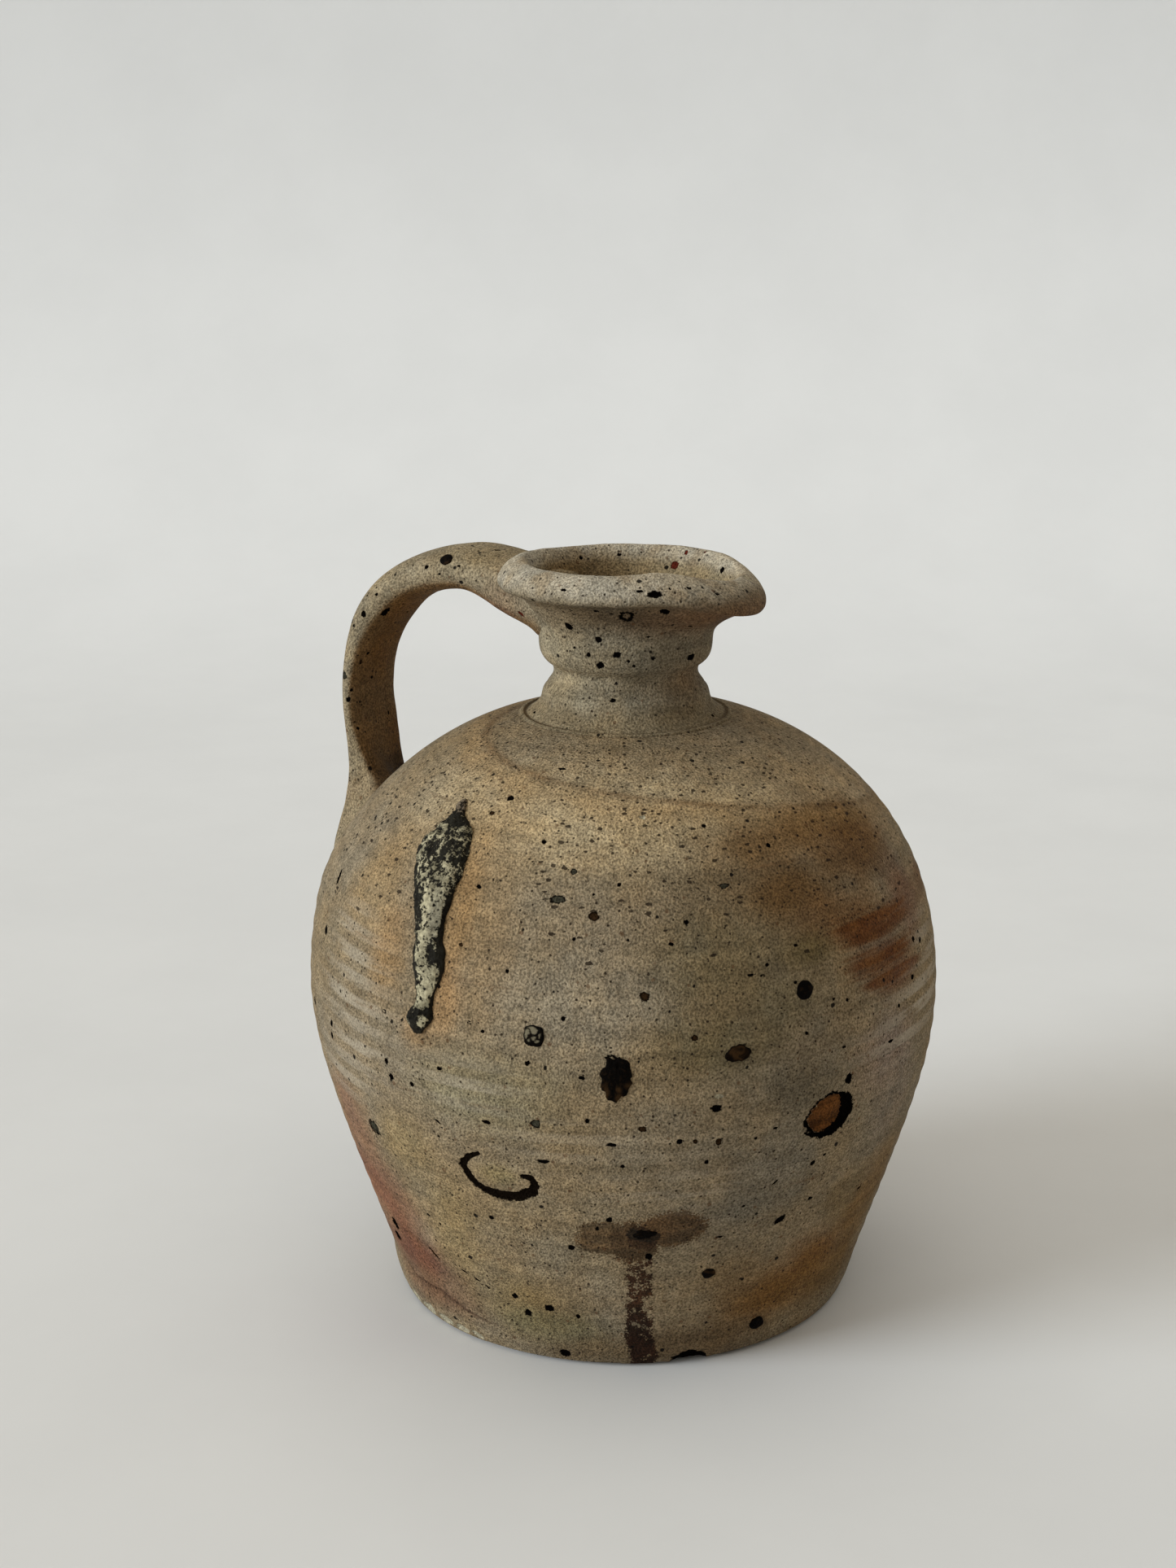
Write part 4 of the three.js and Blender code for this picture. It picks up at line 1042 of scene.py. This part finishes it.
class Finish:
    """One material, put together node by node; sizes are in millimetres."""

    def __init__(self, name):
        self.material = bpy.data.materials.new(name)
        self.material.use_nodes = True
        self.tree = self.material.node_tree
        self.shader = self.tree.nodes["Principled BSDF"]
        self.place = self.add("TexCoord").outputs["Object"]

    def join(self, value, socket):
        """Joins a node's output to a socket, or sets the socket's own value."""
        if isinstance(value, bpy.types.NodeSocket):
            self.tree.links.new(value, socket)
        else:
            socket.default_value = value

    def add(self, kind, inputs=(), **settings):
        node = self.tree.nodes.new("ShaderNode" + kind)
        for key, value in settings.items():
            setattr(node, key, value)
        for key, value in dict(inputs).items():
            self.join(value, node.inputs[key])
        return node

    def give(self, **values):
        """Values for the shader's own sockets, with _ for each space in a socket's name."""
        for name, value in values.items():
            self.join(value, self.shader.inputs[name.replace("_", " ")])

    def noise(self, coords, scale, detail, rough):
        names = {"Vector": coords, "Scale": scale, "Detail": detail, "Roughness": rough}
        return self.add("TexNoise", names).outputs["Fac"]

    def grain(self, size, detail, rough):
        """Noise with lumps of the given size."""
        return self.noise(self.place, 1000 / size, detail, rough)

    def stretched(self, coords, across, along):
        return self.add("Mapping", {"Vector": coords, "Scale": (across, across, along)}).outputs["Vector"]

    def streaks(self, coords, across, along, detail, rough):
        """Noise drawn out round the wheel."""
        return self.noise(self.stretched(coords, across, along), 1.0, detail, rough)

    def shaken(self, coords, wobble, far):
        moved = self.add("VectorMath", {0: wobble, 1: (far, far, far), 2: coords}, operation="MULTIPLY_ADD")
        return moved.outputs["Vector"]

    def spread(self, value, low, high, start=0.0, stop=1.0):
        """A soft run from start to stop as a value goes from low to high."""
        names = {"Value": value, "From Min": low, "From Max": high, "To Min": start, "To Max": stop}
        return self.add("MapRange", names, interpolation_type="SMOOTHSTEP").outputs["Result"]

    def work(self, how, *values):
        """Values worked together from left to right."""
        total = values[0]
        for value in values[1:]:
            total = self.add("Math", {0: total, 1: value}, operation=how).outputs[0]
        return total

    def plus(self, *values):
        return self.work("ADD", *values)

    def minus(self, *values):
        return self.work("SUBTRACT", *values)

    def times(self, *values):
        return self.work("MULTIPLY", *values)

    def blend(self, share, under, over, how="MIX"):
        """Lays one colour over another; a colour of three numbers is a mixer's."""
        under, over = ((*shade(*c), 1) if isinstance(c, tuple) and len(c) == 3 else c for c in (under, over))
        return self.add("Mix", {0: share, 6: under, 7: over}, data_type="RGBA", blend_type=how).outputs[2]

    def tinted(self, colour, by):
        return self.blend(1.0, colour, by, "MULTIPLY")

    def read(self, name, output="Fac"):
        return self.add("Attribute", attribute_name=name).outputs[output]

    def high(self):
        return self.add("SeparateXYZ", {"Vector": self.place}).outputs["Z"]

    def specks(self, coords, cell, radius, share):
        """Scattered grains: a random part of the cells each hold one, of uneven size."""
        cells = self.add("TexVoronoi", {"Vector": coords, "Scale": 1000 / cell, "Randomness": 1.0})
        chance = self.add("SeparateColor", {"Color": cells.outputs["Color"]})
        size = self.spread(chance.outputs["Green"], 0.0, 1.0, 0.35 * radius / cell, radius / cell)
        spot = self.spread(self.work("DIVIDE", cells.outputs["Distance"], size), 0.75, 1.1, 1.0, 0.0)
        return self.times(spot, self.work("LESS_THAN", chance.outputs["Red"], share))

    def crisp(self, field, ragged, soft):
        """A sharp, ragged edge where a stored field passes 0."""
        return self.spread(self.plus(field, ragged), -soft, soft)

    def bump(self, height, distance, strength):
        return self.add("Bump", {"Height": height, "Distance": distance, "Strength": strength}).outputs["Normal"]


def clay_finish(name, thrown_on_wheel, ridged):
    """Unglazed wood-fired stoneware: sandy, mottled, flecked with iron, ashed along the ridges."""
    clay = Finish(name)
    wobble = clay.add("TexNoise", {"Vector": clay.place, "Scale": 900.0, "Detail": 2.0}).outputs["Color"]
    uneven = clay.shaken(clay.place, wobble, 0.0007)
    mottle, blush = clay.grain(9.0, 5.0, 0.62), clay.grain(16.0, 4.0, 0.6)
    sand, lumpy = clay.grain(0.75, 2.0, 0.6), clay.grain(4.5, 4.0, 0.6)
    nibble = clay.minus(clay.grain(0.7, 3.0, 0.6), 0.5)
    wheel = clay.read("wheel", "Vector") if thrown_on_wheel else clay.place
    lines = clay.streaks(wheel, 14.0, 300.0, 3.0, 0.55)

    # fire colours, with rust and stains on the body
    colour = clay.read("tone", "Color")
    if ridged:
        patchy = clay.streaks(wheel, 55.0, 230.0, 5.0, 0.65)
        torn = clay.times(clay.minus(clay.streaks(wheel, 18.0, 260.0, 5.0, 0.65), 0.5), 1.9)
        rust = clay.spread(clay.plus(clay.read("rust"), torn), 0.18, 0.90, 0.0, 0.92)
        warm = clay.blend(clay.spread(mottle, 0.35, 0.65), (92, 51, 20), (98, 60, 28))
        colour = clay.blend(rust, colour, warm)
        stain = clay.crisp(clay.read("stain"), clay.times(nibble, 2.6), 0.16)
        soaked = clay.tinted(clay.read("stain_tone", "Color"), clay.spread(patchy, 0.34, 0.66, 1.55, 0.6))
        colour = clay.blend(clay.times(stain, clay.read("stain_tone", "Alpha")), colour, soaked)
    shades = clay.times(
        clay.spread(mottle, 0.3, 0.7, 0.90, 1.15),
        clay.spread(sand, 0.25, 0.75, 1.6, 0.45),
        clay.spread(lines, 0.3, 0.7, 1.12, 0.88),
        clay.spread(lumpy, 0.3, 0.7, 0.95, 1.09),
    )
    colour = clay.tinted(colour, shades)
    tint = clay.blend(clay.spread(blush, 0.36, 0.64), (0.975, 1.0, 1.03, 1), (1.03, 1.0, 0.95, 1))
    colour = clay.tinted(colour, tint)
    if ridged:
        ash = clay.times(
            clay.read("ash"),
            clay.spread(patchy, 0.34, 0.54),
            clay.spread(clay.read("ridge"), 0.12, 0.55),
            clay.spread(sand, 0.3, 0.65, 1.0, 0.5),
        )
        colour = clay.blend(ash, colour, ASH_GREY)

    # flecks of three sizes, with longer ones up the shoulder
    colour = clay.blend(clay.times(clay.specks(uneven, 3.4, 0.8, 0.25), 0.6), colour, (84, 56, 34))
    fine = clay.specks(uneven, 1.9, 0.48, 0.5)
    if ridged:
        squashed = clay.shaken(clay.stretched(wheel, 1.0, 1.5), wobble, 0.0014)
        share = clay.spread(clay.high(), 0.140, 0.190, 0.0, 0.7)
        fine = clay.work("MAXIMUM", fine, clay.specks(squashed, 3.2, 1.0, share))
    colour = clay.blend(clay.times(fine, 0.88), colour, (34, 25, 17))
    coarse = clay.specks(uneven, 6.5, 0.9, 0.45)
    colour = clay.blend(clay.times(coarse, 0.95), colour, IRON_BLACK)

    # the marks
    field = clay.read("spot")
    spot = clay.crisp(field, clay.times(nibble, 0.9), 0.09)
    # A dark edge round marks whose paint asks for one: partly painted shade round the edge of a pit
    rim = clay.times(clay.minus(1.0, clay.spread(field, 0.12, 0.42)), clay.read("spot_tone", "Alpha"))
    spot_colour = clay.blend(rim, clay.read("spot_tone", "Color"), IRON_BLACK)
    spot_colour = clay.tinted(spot_colour, clay.spread(sand, 0.3, 0.7, 1.5, 0.6))

    pits = clay.plus(clay.times(coarse, -0.25), clay.times(fine, -0.18), clay.times(spot, -0.25))
    rise = clay.plus(clay.times(sand, -0.75), clay.times(lumpy, 0.9), clay.times(lines, -0.42), pits)
    clay.give(
        Base_Color=clay.blend(spot, colour, spot_colour),
        Normal=clay.bump(rise, MM, 1.0),
        Roughness=clay.minus(clay.spread(mottle, 0.3, 0.7, 0.82, 0.97), clay.times(spot, 0.2)),
        Specular_IOR_Level=clay.spread(spot, 0.0, 1.0, 0.08, 0.0),
    )
    return clay.material


def slag_finish():
    """Kiln slag: creamy melt with a dull skin, pitted and blackened, in part with painted shadow."""
    slag = Finish("kiln_slag")
    crust = slag.grain(1.3, 4.0, 0.65)
    colour = slag.tinted(slag.read("tone", "Color"), slag.spread(crust, 0.3, 0.7, 1.35, 0.6))
    burnt = slag.times(slag.minus(slag.grain(1.7, 6.0, 0.76), 0.5), 3.4)
    black = slag.spread(slag.plus(slag.read("spot"), burnt), -0.02, 0.12, 0.0, 0.97)
    colour = slag.blend(black, colour, IRON_BLACK)
    holes = slag.specks(slag.place, 1.6, 0.55, 0.6)
    rise = slag.plus(slag.times(crust, -0.5), slag.times(holes, -0.35), slag.times(black, -0.2))
    slag.give(
        Base_Color=slag.blend(slag.times(holes, 0.9), colour, (18, 15, 12)),
        Normal=slag.bump(rise, MM, 0.9),
        Roughness=slag.spread(crust, 0.3, 0.7, 0.45, 0.8),
        Specular_IOR_Level=0.06,
    )
    return slag.material


def iron_finish(name, sheen):
    """Melted iron: black with a dull skin, browner in places."""
    iron = Finish(name)
    crust = iron.grain(1.1, 4.0, 0.6)
    iron.give(
        Base_Color=iron.blend(iron.spread(crust, 0.5, 0.72, 0.0, 0.7), iron.read("tone", "Color"), (34, 24, 15)),
        Normal=iron.bump(crust, 0.5 * MM, 0.9),
        Roughness=iron.spread(crust, 0.35, 0.7, sheen, sheen + 0.35),
        Specular_IOR_Level=0.015,
    )
    return iron.material


def paper_finish():
    """Pale paper, faintly clouded, a little darker up the wall."""
    paper = Finish("paper")
    fibre = paper.spread(paper.grain(160.0, 5.0, 0.6), 0.3, 0.7)
    colour = paper.blend(fibre, (0.79, 0.795, 0.80, 1), (0.76, 0.765, 0.77, 1))
    paper.give(
        Base_Color=paper.tinted(colour, paper.spread(paper.high(), 0.0, 0.5, 1.0, 0.92)),
        Roughness=0.9,
        Specular_IOR_Level=0.2,
    )
    return paper.material


# Putting the jug together


def hand_over(piece, node, finish):
    """Smooths a piece, sets it on the frame in place of its node and gives it its finish."""
    pick_up(piece)
    bpy.ops.object.shade_smooth()
    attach(piece, "root")
    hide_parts(node)
    piece.data.materials.append(finish)


body = make_body()
neck = make_neck()
pull_lip(neck)
cut_marks(body)
wall_points = points_of(body)
wall_height, wall_azimuth = wall_points[:, 2], np.degrees(polar(wall_points)[1])
wall_outside = outside_of(wall_points)
throw_ridges(body)
handle = pull_strap()
press_on(handle, neck, body)
bpy.context.view_layer.update()
paint_body(body, wall_height, wall_azimuth, wall_outside)
paint_neck(neck)
paint_handle(handle)
bpy.context.view_layer.update()
slag = run_slag(body)

for piece, node in ((body, "body"), (neck, "neck"), (handle, "handle")):
    hand_over(piece, node, clay_finish(node + "_clay", node != "handle", node == "body"))
hand_over(slag, "kiln_drip", slag_finish())

iron, brown_iron = iron_finish("melted_iron", 0.42), iron_finish("brown_iron", 0.55)
for name, height, azimuth, *sizes in IRON_LUMPS:
    lump = drop_iron(body, *nearest(body, wall_place(height, azimuth)), name, *sizes)
    if name == "iron_bead_brown":
        hand_over(lump, name, brown_iron)
    else:
        hand_over(lump, name, iron)
lump = drop_iron(handle, *seen(handle, *HANDLE_BEAD), *HANDLE_LUMP)
hand_over(lump, HANDLE_LUMP[0], iron)


# Studio

WINDOW_SIDE, WINDOW_LIFT, WINDOW_WIDTH, WINDOW_POWER = 21.0, 17.0, 30.0, 2.8
WINDOW_COLOUR = (0.88, 0.95, 1.0)
ROOM_COLOUR, ROOM_POWER = (1.0, 0.93, 0.80), 0.38
CEILING_SIZE, CEILING_HEIGHT, CEILING_POWER = 2.4, 2.2, 11.0
BACKDROP_COLOUR = (0.62, 0.625, 0.585)
SWEEP_SIZE, SWEEP_SHIFT, SWEEP_RISE, SWEEP_BEND, SWEEP_STEPS = 7.0, -2.0, 2.5, 0.6, 24


def view_place(right, away, up):
    """A place given from the camera's side: right of the jug, away behind it and up, in metres."""
    a = math.radians(VIEW_AZIMUTH)
    return (right * math.cos(a) - away * math.sin(a), right * math.sin(a) + away * math.cos(a), up)


def make_sweep():
    """A pale sheet: table in front, turning up into a wall well behind the jug."""
    clear_selection()
    turn = (0, 0, math.radians(VIEW_AZIMUTH))
    bpy.ops.mesh.primitive_plane_add(size=SWEEP_SIZE, rotation=turn, location=view_place(0, SWEEP_SHIFT, 0))
    sweep = named("sweep")
    bpy.ops.object.transform_apply(location=True, rotation=True, scale=True)
    away = Vector(view_place(0, 1, 0))

    def back_edges():
        ends = [[sweep.data.vertices[i].co for i in edge.vertices] for edge in sweep.data.edges]
        return [all(abs(v.z) < 1e-6 and v.dot(away) > 1.0 for v in pair) for pair in ends]

    pick_parts(sweep, "EDGE", back_edges())
    bpy.ops.mesh.extrude_region_move(TRANSFORM_OT_translate={"value": (0, 0, SWEEP_RISE)})
    bpy.ops.object.mode_set(mode="OBJECT")
    pick_parts(sweep, "EDGE", back_edges())
    bpy.ops.mesh.bevel(offset=SWEEP_BEND, segments=SWEEP_STEPS)
    bpy.ops.object.mode_set(mode="OBJECT")
    bpy.ops.object.shade_smooth()
    sweep.data.materials.append(paper_finish())


def place_camera():
    eye = view_axes()[-1]
    tilt = (math.radians(90 - VIEW_PITCH), 0, math.radians(VIEW_AZIMUTH))
    bpy.ops.object.camera_add(location=Vector(eye * MM), rotation=tilt)
    camera = named("camera")
    camera.data.sensor_width = SENSOR
    camera.data.lens = LENS
    camera.data.shift_x = FRAME_SHIFT
    bpy.context.scene.camera = camera


def hang_window():
    """Soft daylight from the left and a little in front, low, as from a window."""
    side, lift = math.radians(WINDOW_SIDE), math.radians(WINDOW_LIFT)
    towards = Vector(view_place(-math.cos(side) * math.cos(lift), -math.sin(side) * math.cos(lift), math.sin(lift)))
    bpy.ops.object.light_add(type="SUN", location=towards * 2, rotation=towards.to_track_quat("Z", "Y").to_euler())
    lamp = named("window")
    lamp.data.angle = math.radians(WINDOW_WIDTH)
    lamp.data.energy = WINDOW_POWER
    lamp.data.color = WINDOW_COLOUR


def light_ceiling():
    """The window's light thrown back by the ceiling."""
    bpy.ops.object.light_add(type="AREA", location=(0, 0, CEILING_HEIGHT))
    lamp = named("ceiling")
    lamp.data.size = CEILING_SIZE
    lamp.data.energy = CEILING_POWER
    lamp.data.color = ROOM_COLOUR


def fill_room():
    """Warm light from the rest of the room; the camera itself sees a pale backdrop."""
    world = bpy.data.worlds.new("room")
    bpy.context.scene.world = world
    world.use_nodes = True
    nodes, links = world.node_tree.nodes, world.node_tree.links
    fill = nodes["Background"]
    fill.inputs["Color"].default_value = (*ROOM_COLOUR, 1)
    fill.inputs["Strength"].default_value = ROOM_POWER
    backdrop = nodes.new("ShaderNodeBackground")
    backdrop.inputs["Color"].default_value = (*BACKDROP_COLOUR, 1)
    backdrop.inputs["Strength"].default_value = 1.0
    path = nodes.new("ShaderNodeLightPath")
    mix = nodes.new("ShaderNodeMixShader")
    direct = path.outputs["Is Camera Ray"]
    for kind in ("Is Glossy Ray", "Is Transmission Ray"):
        either = nodes.new("ShaderNodeMath")
        either.operation = "MAXIMUM"
        links.new(direct, either.inputs[0])
        links.new(path.outputs[kind], either.inputs[1])
        direct = either.outputs[0]
    links.new(direct, mix.inputs["Fac"])
    links.new(fill.outputs["Background"], mix.inputs[1])
    links.new(backdrop.outputs["Background"], mix.inputs[2])
    links.new(mix.outputs["Shader"], nodes["World Output"].inputs["Surface"])


make_sweep()
place_camera()
hang_window()
light_ceiling()
fill_room()

bpy.context.scene.view_settings.view_transform = "Standard"
